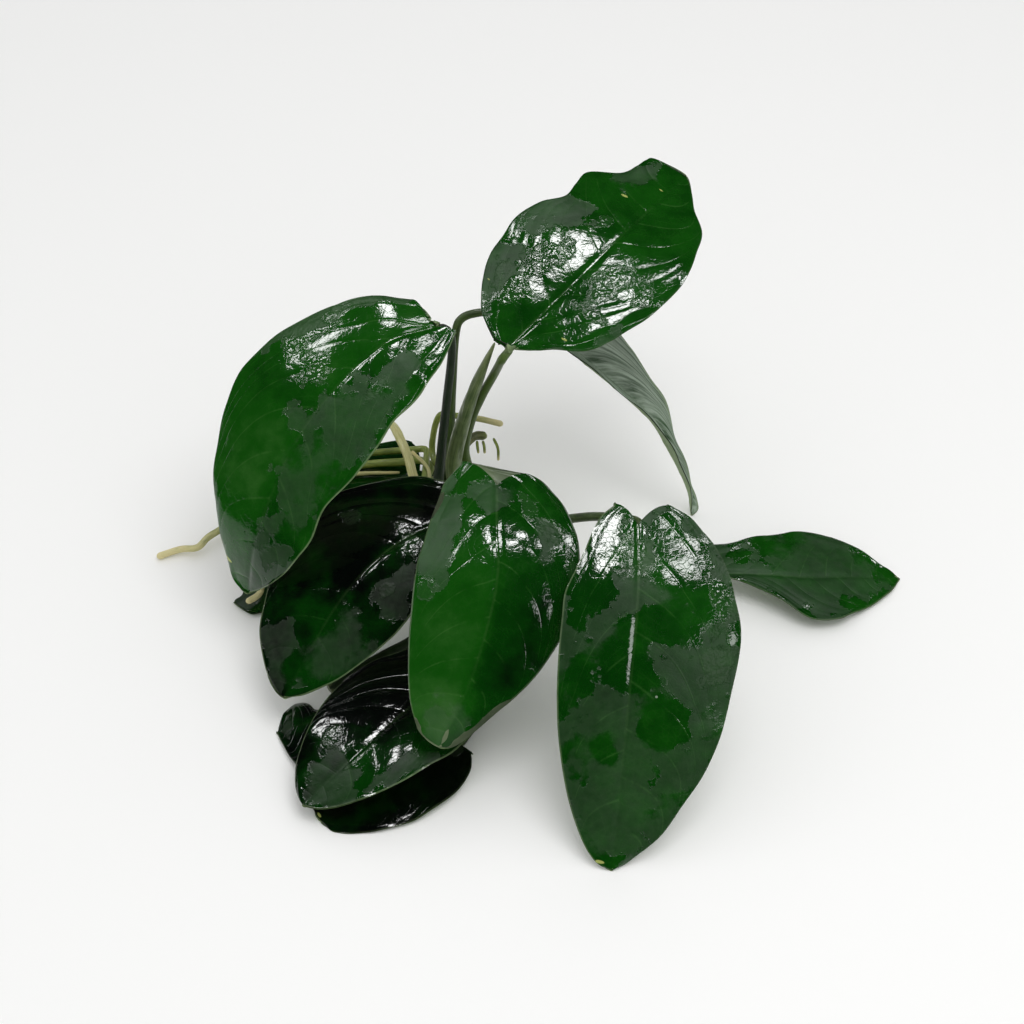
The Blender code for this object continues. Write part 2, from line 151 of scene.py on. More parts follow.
class Route:
    """A smooth line through places given in metres."""

    def __init__(self, points):
        self.points = points
        self.marks = [0.0]
        for a, b in zip(points, points[1:]):
            self.marks.append(self.marks[-1] + (b - a).length)
        self.length = self.marks[-1]

    def at(self, share):
        """The point at a share of the length."""
        goal = max(0.0, min(1.0, share)) * self.length
        i = 0
        while i < len(self.points) - 2 and goal > self.marks[i + 1]:
            i += 1
        t = (goal - self.marks[i]) / (self.marks[i + 1] - self.marks[i])
        b, c = self.points[i], self.points[i + 1]
        a = self.points[i - 1] if i > 0 else 2 * b - c
        d = self.points[i + 2] if i + 2 < len(self.points) else 2 * c - b
        curve = 2 * b + (c - a) * t + (2 * a - 5 * b + 4 * c - d) * t**2
        return 0.5 * (curve + (3 * b - a - 3 * c + d) * t**3)

    def towards(self, share):
        """The unit tangent there."""
        step = 0.001
        return (self.at(share + step) - self.at(share - step)).normalized()


print("a route's tangent:", Route([Vector((0, 0, 0)), Vector((1, 1, 0))]).towards(0.5))


# %% [markdown]
# The leaves' own numbers
# Each blade is told by its midrib (the spine), by where its upper side faces, and by how wide it is on
# either side of the midrib. A smooth formula gives the leaf's plain form, and fifteen numbers for each
# side say how far the real margin stands out from it, which is what makes every leaf its own. These
# are the numbers that the solids were made from. To them this file adds what only the fine mesh has:
# how green each side is, where the film of water has dried off or broken up, and where the scars are.
# The near-black end of the green is painted shade, the dry patches carry a painted sheen, and the light patches paint
# sheen and shade as well as the leaf's own lighter and darker green.

# %% Leaf table
# A side's numbers are the left one's, then the right one's, walking from base to tip on the upper side
# tone: 0 is black-green, which is painted shade, 1 deep, 2 fresh, 3 light; edge: how strongly the
# pale margin shows, partly its own paleness and partly a painted highlight
# light, dry, wet, foam: patches, each (side, share, half-size in side, half-size in share, ...); the
# dry patches are matt with a painted sheen, and the light patches paint sheen and shade as well as the
# leaf's own lighter and darker green
# scars: side, share, radius in mm
PLAIN = (0,) * 15
LEAST_REACH = 0.6
LEAVES = {
    "top": {
        "spine": [(-4, 38, 58), (5.3, 46.2, 63), (18.5, 59.5, 69), (34.3, 81.8, 70.5)],
        "face": [(-0.1, -0.35, 1), (0.1, -0.2, 1)],
        "half": (18, 15.5), "belly": (0.52, 0.52), "point": (0.9, 1.6),
        "neck": (0.2, 0.12), "lobe": (0.5, -1), "fold": 0.1, "droop": 0.12,
        "trim": ((-2.5, 0, 0.7, 1.7, 2.7, 2.9, 2.9, 1.4, -1.7, -0.5, 1.1, -2.2, -1.1, 1.4, 3.5),
                 (-1.3, -1.5, -1.3, 1.2, 1.9, 1.8, 2.2, 1.9, 1.3, 0.7, 0.8, -1.3, -1.3, -0.9, -0.4)),
        "stalk": [0.1, (0.6, 0.1, 0.8), (-13.5, 50.4, 20), (-11.8, 48.8, 30), (-9.5, 46.8, 38),
                  (-6.4, 44, 47)],
        "tone": (1.5, 1.6), "edge": (0, 0.1), "quilt": 1.0,
        "light": [(0.1, 0.2, 0.5, 0.15, -0.3), (-0.2, 0.9, 0.6, 0.2, 0.2)],
        "dry_and_sheen": [(-0.85, 0.22, 0.22, 0.14), (-0.82, 0.5, 0.34, 0.14), (-0.65, 0.87, 0.3, 0.1),
                (0.95, 0.2, 0.15, 0.1)],
        "foam": [(-0.4, 0.36, 0.32, 0.12), (0.35, 0.42, 0.3, 0.12), (-0.55, 0.2, 0.3, 0.1),
                 (0.5, 0.27, 0.35, 0.04), (-0.3, 0.6, 0.12, 0.05), (0.8, 0.42, 0.15, 0.05)],
        "scars": [(-0.37, 0.76, 1.0), (-0.13, 0.87, 0.7), (0.67, 0.14, 0.9), (-0.9, 0.16, 0.6)],
    },
    "upper_left": {
        "spine": [(-18.5, 42.5, 60), (-30, 36.5, 59), (-44.7, 24, 48.7), (-54.5, 12.8, 30.5),
                  (-57.7, 11.2, 14.4)],
        "face": [(-0.2, -0.5, 0.9), (-0.45, -0.6, 0.6)],
        "half": (15.5, 17.8), "belly": (0.4, 0.45), "point": (1.3, 1.05),
        "neck": (0.2, 0.15), "lobe": (3, -0.5), "fold": 0.05, "droop": 0.2,
        "trim": ((-1.8, -2, -1.2, -0.8, -0.4, -0.7, -1.4, -0.7, -0.5, -2, -0.5, -0.3, -0.9, -1.2, -1.1),
                 (1.4, -0.3, -1.7, -1.3, 0.4, 2, 3.5, 4, 2.3, 0.4, -0.8, -1.8, -0.8, -0.2, 0.7)),
        "stalk": [0.3, (-0.6, 0, 0.8), (-18.6, 44.5, 22), (-16.9, 44.5, 38), (-15.4, 44, 54)],
        "tone": (1.6, 2.1), "edge": (0.8, 0.1), "quilt": 0.8,
        "light": [(-0.3, 0.88, 0.8, 0.16, -0.9), (0.5, 0.42, 0.5, 0.07, -0.6), (0.3, 0.62, 0.5, 0.1, 0.3)],
        "dry_and_sheen": [(0.95, 0.2, 0.2, 0.2), (-0.45, 0.5, 0.6, 0.3), (-0.5, 0.2, 0.2, 0.1)],
        "foam": [(0.75, 0.3, 0.2, 0.12), (0.35, 0.33, 0.25, 0.06), (0.9, 0.12, 0.1, 0.14),
                 (-0.47, 0.28, 0.12, 0.05)],
        "scars": [(0.8, 0.93, 1.5)],
    },
    "centre": {
        "spine": [(-6, 14, 42), (-6, 2, 41), (-6, -9.5, 36.5), (-10.5, -22, 25), (-16.8, -32, 15.5)],
        "face": [(0, -0.5, 1), (-0.1, -0.8, 0.6)],
        "half": (16, 16), "belly": (0.36, 0.42), "point": (1.75, 0.95),
        "neck": (0.35, 0.45), "lobe": (3, 6.5), "fold": 0.05, "droop": 0.2,
        "trim": ((-0.3, -0.3, -0.4, -0.1, 0, 0, 0, -0.2, -0.1, -0.7, -1.1, -1.7, -0.8, 0.4, 1.0),
                 (-1.6, -1.9, -1.4, -1.9, -1.8, -1.1, -0.1, 0.2, 0.2, 0, -0.1, 0, 0.1, 0.2, 0.8)),
        "stalk": [0.42, (0.1, 0, 1), (-13, 37, 20), (-10, 29, 33)],
        "tone": (1.0, 1.9), "edge": (0.35, 0.5), "quilt": 0.7,
        "light": [(0.1, 0.94, 1.0, 0.14, 1.0), (-0.6, 0.6, 0.35, 0.2, -0.5), (-0.5, 0.12, 0.4, 0.12, 0.6),
                  (0.5, 0.6, 0.5, 0.1, 0.3)],
        "dry_and_sheen": [(0.1, 0.94, 0.8, 0.12), (0.85, 0.26, 0.3, 0.2), (0.1, 0.07, 0.4, 0.08),
                (-0.65, 0.28, 0.16, 0.1)],
        "foam": [(-0.45, 0.13, 0.16, 0.07), (-0.7, 0.24, 0.16, 0.09), (-0.88, 0.36, 0.12, 0.08),
                 (0.85, 0.5, 0.14, 0.06)],
        "scars": [],
    },
    "front_right": {
        "spine": [(21.5, 1, 43), (21, -14, 38), (19, -30, 26), (16, -49.6, 0.3)],
        "face": [(0, -0.7, 0.8), (0, -0.7, 0.6)],
        "half": (19.5, 15), "belly": (0.38, 0.42), "point": (1.2, 1.35),
        "neck": (0.3, 0.3), "lobe": (4.5, 4.5), "fold": 0.05, "droop": 0.15,
        "trim": ((-1.1, -0.7, -0.9, -0.4, 0, 0.2, 0.8, 0.8, 0.2, 0.3, 0, -1, -1.2, -1.6, -0.9),
                 (-1.7, -1.5, -1.7, -1.8, -1.2, -0.3, -0.7, -0.9, -1, -0.7, -0.4, 0, 0.4, 0.8, 0.9)),
        "stalk": [0.5, (0.8, 0, 0.7), (-2, 29, 16), (8, 20, 27), (15, 11, 36)],
        "tone": (1.3, 1.1), "edge": (0.1, 0.5), "quilt": 0.6,
        "light": [(0.2, 0.08, 0.7, 0.1, 0.5), (0, 0.9, 0.7, 0.2, 0.35), (0.1, 0.45, 0.5, 0.08, -0.3)],
        "dry_and_sheen": [(0, 0.5, 1.3, 0.7)],
        "wet": [(-0.55, 0.13, 0.34, 0.1), (-0.75, 0.25, 0.2, 0.06), (-0.97, 0.34, 0.1, 0.05),
                (0.15, 0.44, 0.4, 0.05), (-0.45, 0.6, 0.28, 0.07), (0.3, 0.68, 0.18, 0.04),
                (0.75, 0.2, 0.3, 0.25), (-0.2, 0.33, 0.4, 0.05)],
        "foam": [(-0.85, 0.22, 0.18, 0.14), (-0.8, 0.42, 0.2, 0.06), (-0.1, 0.12, 0.16, 0.07)],
        "scars": [(0.73, 0.98, 1.2)],
    },
    "lower_left": {
        "spine": [(-14.5, 18, 29.5), (-26, 11, 29), (-37.2, 1.5, 22.5), (-48.7, -13.1, 9)],
        "face": [(-0.1, -0.3, 1), (-0.3, -0.5, 0.9)],
        "half": (16.5, 17.5), "belly": (0.45, 0.45), "point": (1.0, 1.0),
        "neck": (0.45, 0.45), "lobe": (4, 4), "fold": 0.05, "droop": 0.2,
        "trim": ((-0.8, -1.8, -3, -4.2, -5.2, -5.8, -4.1, -3.1, -2.5, -2.7, -2.9, -3.1, -3.4, -2.9, -2),
                 (-0.6, -1.3, -0.5, 0, 0.8, 2.4, 3.2, 3.1, 2.3, 1.3, 0.4, 0, -0.7, -1, -0.8)),
        "stalk": [0.6, (-0.3, 0, 1), (-13.5, 28.5, 18)],
        "tone": (0.4, 0.08), "edge": (0.6, 0.5), "quilt": 0.8,
        "light": [(0.4, 0.72, 0.5, 0.16, 0.45), (-0.4, 0.9, 0.6, 0.14, 0.5), (0.1, 0.5, 0.3, 0.2, -0.2)],
        "dry_and_sheen": [(-0.4, 0.75, 0.55, 0.2), (0.6, 0.88, 0.35, 0.14), (-0.6, 0.45, 0.3, 0.12)],
        "foam": [(0.6, 0.34, 0.12, 0.04), (0.05, 0.22, 0.3, 0.03), (-0.25, 0.26, 0.25, 0.03),
                 (-0.5, 0.45, 0.14, 0.05)],
        "scars": [],
    },
    "front_left": {
        "spine": [(-12, -5.5, 10.5), (-21, -15.5, 12), (-32, -28, 10.5), (-43.4, -36.9, 4.2)],
        "face": [(0, -0.1, 1), (-0.25, -0.25, 0.9)],
        "half": (12.4, 14.5), "belly": (0.45, 0.5), "point": (1.0, 0.9),
        "neck": (0.45, 0.45), "lobe": (3, 3), "fold": 0.05, "droop": 0.15,
        "trim": ((0.1, 0.3, 0.5, 0.8, 1.1, 1.2, 1.1, 1, -0.2, -0.8, -1.2, -1.7, -1.7, -1.5, -1.4),
                 (0, 0, -0.2, -0.4, -0.5, 0.6, 1.5, 1, 0.6, 0.4, -0.2, -0.4, -0.4, -0.7, -0.7)),
        "stalk": [0.93, (0.5, -0.5, 0.7), (-7.5, 10, 10), (-9, 3, 9.6)],
        "tone": (0.45, 0.0), "edge": (0.7, 0.4), "quilt": 0.7,
        "light": [(0, 0.85, 0.9, 0.2, 0.6), (-0.8, 0.55, 0.4, 0.3, 0.3), (0.5, 0.3, 0.5, 0.3, -0.4)],
        "dry_and_sheen": [(-0.2, 0.88, 0.7, 0.16), (-0.8, 0.62, 0.22, 0.16)],
        "foam": [(0.5, 0.7, 0.18, 0.08), (-0.1, 0.7, 0.08, 0.16)],
        "scars": [],
    },
    "floor_front": {
        "spine": [(-15, -19, 3.2), (-22, -24.5, 3), (-32, -31, 2), (-40.5, -37.2, 0.3)],
        "face": [(0, 0, 1), (0, 0, 1)],
        "half": (11.4, 12.5), "belly": (0.5, 0.5), "point": (0.95, 1.0),
        "neck": (0.5, 0.5), "lobe": (1, 1), "fold": 0.0, "droop": 0.1,
        "trim": ((-1.3, -1.1, -0.5, -0.2, 0.1, 0.2, 0.2, 0.2, -0.1, -0.2, -0.3, -0.4, -0.1, 0.4, 1.1),
                 PLAIN),
        "stalk": [0.84, (1, 0, 0.1), (-4, 10, 4), (-6.5, -6, 3)],
        "tone": (0.0, 0.1), "edge": (0.15, 0.15), "quilt": 0.5,
        "light": [], "dry_and_sheen": [], "foam": [(-0.3, 0.06, 0.5, 0.08)], "scars": [(0.2, 0.985, 0.9)],
    },
    "floor_left": {
        "spine": [(-33, -16.7, 5.5), (-39, -16, 5), (-45, -15, 3.2), (-50.5, -14.6, 0.3)],
        "face": [(0, 0, 1), (0, 0, 1)],
        "half": (8.5, 6), "belly": (0.6, 0.6), "point": (0.8, 0.8),
        "neck": (0.45, 0.45), "lobe": (1, 1), "fold": 0.0, "droop": 0.1,
        "trim": ((0.1, 0.3, 0.6, 1, 1.5, 1.9, 2.2, 2.3, 1.5, 0.5, -0.6, -2, -2.7, -2.8, -2),
                 (0, 0, -0.3, -0.8, -1.4, -1.9, -2.2, -1.9, 0.1, 1.4, 2.2, 2.9, 2.9, 2.9, 3)),
        "stalk": [0.8, (-1, 0, -0.3), (-18.5, 10, 1.8), (-21.6, -4, 1.8), (-26.8, -13.4, 3.5)],
        "tone": (0.2, 0.3), "edge": (0.2, 0.2), "quilt": 0.4,
        "light": [], "dry_and_sheen": [(0, 0.9, 0.6, 0.1)], "foam": [], "scars": [],
    },
    "back_right": {
        "spine": [(0, 68, 44.5), (10, 66.5, 36.5), (20, 62.5, 28.9), (28.5, 58, 22.3),
                  (33.9, 54.5, 13.8), (37, 52.3, 6.2), (37.9, 51, 0.3)],
        "face": [(0.62, -0.31, 0.72), (0.75, -0.2, 0.5)],
        "half": (6.8, 5), "belly": (0.3, 0.3), "point": (2.3, 2.2),
        "neck": (0.3, 0.3), "lobe": (2, 2), "fold": 0.8, "droop": 0.15,
        "trim": ((0, 0, 0, 0.2, 0.5, 0.8, 0.9, 1.3, -0.2, -1.8, -2.5, -1.8, -1.0, 0.5, 1.2),
                 PLAIN),
        "stalk": [0.11, (-0.35, 0, 0.93), (-17, 56, 18.5), (-16.2, 60, 30.6), (-15.4, 64.5, 40.5),
                  (-14, 67, 43.5), (-9.5, 68, 44.5)],
        "tone": (1.4, 1.8), "edge": (0.9, 0), "quilt": 0.5,
        "light": [(-0.9, 0.3, 0.5, 0.3, -0.5), (0, 0.97, 1, 0.08, 2.0)],
        "dry_and_sheen": [(0, 0.5, 3, 2)], "foam": [], "scars": [], "silk": 0.85,
    },
    "floor_right": {
        "spine": [(37.5, 27.5, 5), (48, 25.5, 6.5), (60, 26, 5), (70, 28, 3), (81.7, 30.4, 0.3)],
        "face": [(0, -0.1, 1), (0, -0.1, 1)],
        "half": (13.5, 12.5), "belly": (0.55, 0.6), "point": (1.3, 1.6),
        "neck": (0.3, 0.05), "lobe": (2, 0), "fold": 0.05, "droop": 0.1, "shoulder": (1, 2.5),
        "trim": ((0.2, 0.5, -0.6, -1.9, -2.2, -1.4, -0.5, 0.5, 0.6, 0.1, -0.4, -0.9, -1.8, -1.2, -1),
                 (0, -0.6, -2.1, -3.7, -4.5, -3.5, -0.8, -0.8, -1.8, -2.1, -2, -1.7, -1.1, -0.7, -0.2)),
        "stalk": [0.66, (1, 0, 0.1), (6, 29.8, 5.6), (22, 29.1, 5)],
        "tone": (1.3, 1.4), "edge": (0.05, 0.3), "quilt": 0.6,
        "light": [(0, 0.85, 1, 0.2, 0.4), (-0.3, 0.2, 0.6, 0.2, 0.6)],
        "dry_and_sheen": [(-0.1, 0.45, 1.3, 0.7)], "foam": [],
        "scars": [],
    },
    "back_left": {
        "spine": [(-24, 60, 6.3), (-35, 51.5, 5.8), (-48, 36, 3.5), (-63, 22.8, 0.3)],
        "face": [(0, 0, 1), (0, 0, 1)],
        "half": (12, 15), "belly": (0.45, 0.35), "point": (1.2, 1.2),
        "neck": (0.25, 0.6), "lobe": (0, 4), "fold": 0.05, "droop": 0.1,
        "trim": ((0, 0, 0, 0, 0, 0, 0, 0, 0, 0, 0.4, 1.1, 2, 2.9, 3.5),
                 (0, 0, 0, 0, 0, 0, 0, 0, 0, -0.5, -1.2, -2.2, -3.2, -4, -1.5)),
        "stalk": [0.0, (0, 1, -0.5), (-16.5, 61, 5)],
        "tone": (0.9, 0.7), "edge": (0.3, 0.3), "quilt": 0.6,
        "light": [], "dry_and_sheen": [(0, 0.9, 1.0, 0.15)], "foam": [], "scars": [],
    },
}
print("leaves:", ", ".join(LEAVES))


# %% [markdown]
# Where the veins run
# From the midrib the side veins leave at about fifty degrees and sweep round towards the tip. A vein
# that starts at share s of the midrib has moved on by vein_sweep(out) of what is left, out being 0 at
# the midrib and 1 at the margin. Turned round, that tells for any point of the blade which vein it
# is on: whole numbers are veins, and halves lie midway between two of them. Below the first vein the
# numbers go slower, as the few veins of the base's lobes fan out from one point. The mesh and the
# material both use this, so that bumps, lines and colour stay together.

# %% Vein numbers
VEIN_STEP = 0.135
SWEEP_NEAR, SWEEP_FAR = 0.28, 0.32
BASE_FAN = 0.3
LEFT_SHIFT = 0.45


def vein_number(side, share):
    """Which vein a point lies on; the left side's veins are shifted against the right side's."""
    out = abs(side)
    sweep = SWEEP_NEAR * out + SWEEP_FAR * out**3
    number = (share - sweep) / (1 - sweep) / VEIN_STEP
    return max(number, BASE_FAN * number) + (LEFT_SHIFT if side < 0 else 0.0)


print("vein at mid-blade:", round(vein_number(0.5, 0.5), 2))


# %% [markdown]
# The form of a blade
# The outline is one formula: turn runs from 0 at the base to 180 degrees at the tip, and the width
# follows its sine, so that both ends are round by nature. The margin's own numbers are added to it as
# a smooth curve. The base's lobes are pulled back beside the stalk, which makes the heart shape. On
# that form comes the relief: the groove over the midrib, fine grooves over the side veins, an uneven
# bulge between them, and dents of three sizes. The relief is real shape and not only bump, because
# it's what breaks the reflections into streaks.

# %% Blade form
BLADE_THICKNESS = 0.5 * MM
MARGIN_THICKNESS = 0.26 * MM
QUILT_HEIGHT = 0.13 * MM
GROOVE_DEPTH = 0.32 * MM
GROOVE_WIDTH = 0.7 * MM
VEIN_DEPTH = 0.07 * MM
VEIN_WIDTH = 0.4 * MM
# The dents' heights and sizes, and the curl of the margin's edge
DENTS = [(0.45 * MM, 15 * MM), (0.11 * MM, 5.5 * MM), (0.035 * MM, 2.1 * MM)]
CURL_HEIGHT, CURL_SIZE = 0.9 * MM, 8 * MM


def blade_half(leaf, turn, side):
    """The share along the spine and the reach of a side in mm."""
    r = 1 if side > 0 else 0
    middle = sum(leaf["belly"]) / 2
    belly = middle + (leaf["belly"][r] - middle) * abs(side)
    sine = max(0.0, math.sin(turn))
    if turn < math.pi / 2:
        shoulder = leaf.get("shoulder", (1, 1))[r]
        width = leaf["neck"][r] + (1 - leaf["neck"][r]) * sine**shoulder
        share = belly * (1 - math.cos(turn))
    else:
        width = sine ** leaf["point"][r]
        share = belly - (1 - belly) * math.cos(turn)
    values = (0, *leaf["trim"][r], 0)
    at = turn / math.pi * (len(values) - 1)
    i = min(int(at), len(values) - 2)
    t = at - i
    a, b, c, d = values[max(i - 1, 0)], values[i], values[i + 1], values[min(i + 2, len(values) - 1)]
    curve = 2 * b + (c - a) * t + (2 * a - 5 * b + 4 * c - d) * t**2
    trim = 0.5 * (curve + (3 * b - a - 3 * c + d) * t**3)
    return share, max(width * leaf["half"][r] + trim, LEAST_REACH * sine)


def blade_point(leaf, spine, turn, side):
    """A point of the upper side: place, upward direction, share, reach in metres."""
    r = 1 if side > 0 else 0
    out = abs(side)
    share, reach = blade_half(leaf, turn, side)
    tangent = spine.towards(share)
    face = Vector(leaf["face"][0]).lerp(Vector(leaf["face"][1]), share)
    right = tangent.cross(face).normalized()
    up = right.cross(tangent)
    across = out * reach * MM
    rise = leaf["fold"] * across - leaf["droop"] * across**2 / (leaf["half"][r] * MM)
    back = leaf["lobe"][r] * MM * (1 - (1 - out) ** 2) * (1 - share) ** 3
    point = spine.at(share) + right * math.copysign(across, side) + up * rise - tangent * back
    return point, up, share, reach * MM


def blade_relief(leaf, place, seed, side, share, width, length):
    """How far the upper side stands above the plain form, in metres."""
    out = abs(side)
    number = vein_number(side, share)
    beside = abs(number - round(number)) * VEIN_STEP * length
    inside = min(1.0, out / 0.15) * min(1.0, (1 - out) / 0.12)
    uneven = 0.6 + 1.2 * noise.noise(place / (9 * MM) + Vector((seed, 0, 5)))
    quilt = leaf["quilt"] * QUILT_HEIGHT * (abs(math.sin(math.pi * number)) ** 0.8 - 0.5) * uneven
    vein = VEIN_DEPTH * math.exp(-((beside / VEIN_WIDTH) ** 2))
    groove = GROOVE_DEPTH * math.exp(-((out * width / GROOVE_WIDTH) ** 2)) * (1 - 0.6 * share)
    dents = sum(h * noise.noise(place / s + Vector((0, seed, 9))) for h, s in DENTS)
    curl = CURL_HEIGHT * out**4 * noise.noise(Vector((share * length / CURL_SIZE, 3 * side, seed)))
    return (quilt - vein) * inside * min(1.0, width / (9 * MM)) - groove + dents * (1 - out**6) + curl


print("a blade is", BLADE_THICKNESS / MM, "mm thick,", MARGIN_THICKNESS / MM, "at its margin")


# %% [markdown]
# Patches on a blade
# No leaf is the same all over. A patch is an oval in the blade's own coordinates: its value is 1 in
# its middle, 0 on its outline and below 0 outside. The material cuts it off at 0 with noise on
# top, which gives the ragged borders that drying water leaves. An image would fix the borders' sharpness;
# this way they stay sharp however near one looks.

# %% Patches
def patch(patches, side, share):
    """The best value of a list of oval patches, at least -1."""
    best = -1.0
    for s, v, across, lengthways, *_ in patches:
        best = max(best, 1 - math.hypot((side - s) / across, (share - v) / lengthways))
    return best


def tone(leaf, side, share):
    """How green the leaf is there, near 0 a painted shade: its side's tone, eased over the midrib, and its light
    patches.
    """
    left, right = leaf["tone"]
    ease = max(0.0, min(1.0, 0.5 + side / 0.24))
    found = left + (right - left) * ease
    for s, v, across, lengthways, amount in leaf["light"]:
        far = math.hypot((side - s) / across, (share - v) / lengthways)
        found += amount * math.exp(-(far**2))
    return found


def scar(leaf, side, share, width, length):
    """1 in the middle of a scar, 0 on its outline."""
    best = -1.0
    for s, v, radius in leaf["scars"]:
        far = math.hypot((side - s) * width, (share - v) * length * 2.5) / (radius * MM)
        best = max(best, 1 - far)
    return best


print("patches:", sum(len(leaf["dry_and_sheen"]) + len(leaf["foam"]) for leaf in LEAVES.values()))


# %% [markdown]
# From a grid to a blade
# The upper side is a grid bent to the form. Solidify would give a wall of even thickness with a square
# rim, but a leaf is thin at its margin and has a keel under the midrib. So the sheet is duplicated,
# its copy is turned over and moved down by what the place needs, and the two are bridged. One cut
# round the rim, pushed out a little, rounds the margin.
# Every point keeps what the material needs: its side and share, its distances in millimetres from the
# midrib and the margin, and its patches, as attributes.

# %% Blade mesh
SPACING = 0.42
KEEL_HEIGHT = 0.75 * MM
KEEL_WIDTH = 0.9 * MM
VEIN_UNDERSIDE = 0.1 * MM
RIM_BULGE = 0.07 * MM
MERGE = 0.001 * MM


def thickness(side, share, width):
    """The blade's thickness, thin at the margin and with a keel below the midrib and the veins."""
    out = abs(side)
    wall = MARGIN_THICKNESS + (BLADE_THICKNESS - MARGIN_THICKNESS) * min(1.0, (1 - out) * width / (3 * MM))
    keel = KEEL_HEIGHT * math.exp(-((out * width / KEEL_WIDTH) ** 2)) * (1 - share) ** 0.7
    vein = VEIN_UNDERSIDE * (1 - abs(math.sin(math.pi * vein_number(side, share)))) ** 3
    return wall + keel + vein * min(1.0, (1 - out) / 0.2)


def blade_mesh(name, leaf, seed):
    """The whole blade as a closed mesh, with material 0 above, 1 below and 2 on the rim."""
    spine = Route([metres(p) for p in leaf["spine"]])
    length = spine.length
    columns = round(sum(leaf["half"]) / SPACING)
    rows = round(1.25 * length / MM / SPACING)
    bm = bmesh.new()
    bmesh.ops.create_grid(bm, x_segments=columns, y_segments=rows, size=1)
    where = bm.verts.layers.float_vector.new("blade")
    reach = bm.verts.layers.float_vector.new("reach")
    look = bm.verts.layers.float_vector.new("look")
    foam = bm.verts.layers.float.new("foam")
    depth = bm.verts.layers.float.new("depth")
    lift = {}
    for v in bm.verts:
        side, turn = v.co.x, (v.co.y + 1) / 2 * math.pi
        place, up, share, width = blade_point(leaf, spine, turn, side)
        dry_and_sheen = min(patch(leaf["dry_and_sheen"], side, share), -patch(leaf.get("wet", []), side, share))
        v.co = place
        v[where] = (side, share, tone(leaf, side, share))
        v[reach] = (abs(side) * width / MM, (1 - abs(side)) * width / MM, dry_and_sheen)
        # look holds the pale margin's strength, which is partly a painted highlight, the scars, and the hanging
        # leaf's painted sheen.
        v[look] = (leaf["edge"][1 if side > 0 else 0], scar(leaf, side, share, width, length),
                   leaf.get("silk", 0))
        v[foam] = patch(leaf["foam"], side, share)
        v[depth] = thickness(side, share, width)
        lift[v] = up * blade_relief(leaf, place, seed, side, share, width, length)
    for v, shift in lift.items():
        v.co += shift
        v.co.z = max(v.co.z, v[depth])
    bmesh.ops.remove_doubles(bm, verts=bm.verts, dist=MERGE)
    bmesh.ops.recalc_face_normals(bm, faces=bm.faces)
    if sum(f.normal.dot(Vector(leaf["face"][0])) for f in bm.faces) < 0:
        bmesh.ops.reverse_faces(bm, faces=bm.faces)
    bm.normal_update()
    top_rim = [e for e in bm.edges if e.is_boundary]
    copy = bmesh.ops.duplicate(bm, geom=bm.verts[:] + bm.edges[:] + bm.faces[:])["geom"]
    below = [g for g in copy if isinstance(g, bmesh.types.BMVert)]
    normals = {v: v.normal.copy() for v in below}
    under = [g for g in copy if isinstance(g, bmesh.types.BMFace)]
    low_rim = [g for g in copy if isinstance(g, bmesh.types.BMEdge) and g.is_boundary]
    for v in below:
        v.co -= normals[v] * v[depth]
        v.co.z = max(v.co.z, 0.0)
    bmesh.ops.reverse_faces(bm, faces=under)
    for f in under:
        f.material_index = 1
    rim = bmesh.ops.bridge_loops(bm, edges=top_rim + low_rim)["faces"]
    for f in rim:
        f.material_index = 2
    loops = set(top_rim + low_rim)
    short = list({e for f in rim for e in f.edges} - loops)
    cut = bmesh.ops.subdivide_edges(bm, edges=short, cuts=1)
    bm.normal_update()
    for v in {g for g in cut["geom_inner"] if isinstance(g, bmesh.types.BMVert)}:
        v.co += v.normal * RIM_BULGE
        v.co.z = max(v.co.z, 0.0)
    bmesh.ops.recalc_face_normals(bm, faces=bm.faces)
    mesh = bpy.data.meshes.new(name)
    bm.to_mesh(mesh)
    bm.free()
    mesh.shade_smooth()
    return mesh


test = blade_mesh("test", LEAVES["floor_left"], 1)
print("a small blade has", len(test.polygons), "faces")
bpy.data.meshes.remove(test)


# %% [markdown]
# Shader maths
# A material here is a small sum over many nodes. Written out node by node it would be unreadable, so
# one class wraps an output socket: arithmetic on it adds the Math nodes. Vectors and colours go
# through Vector Math and Mix, since a plain Math node would turn them grey.

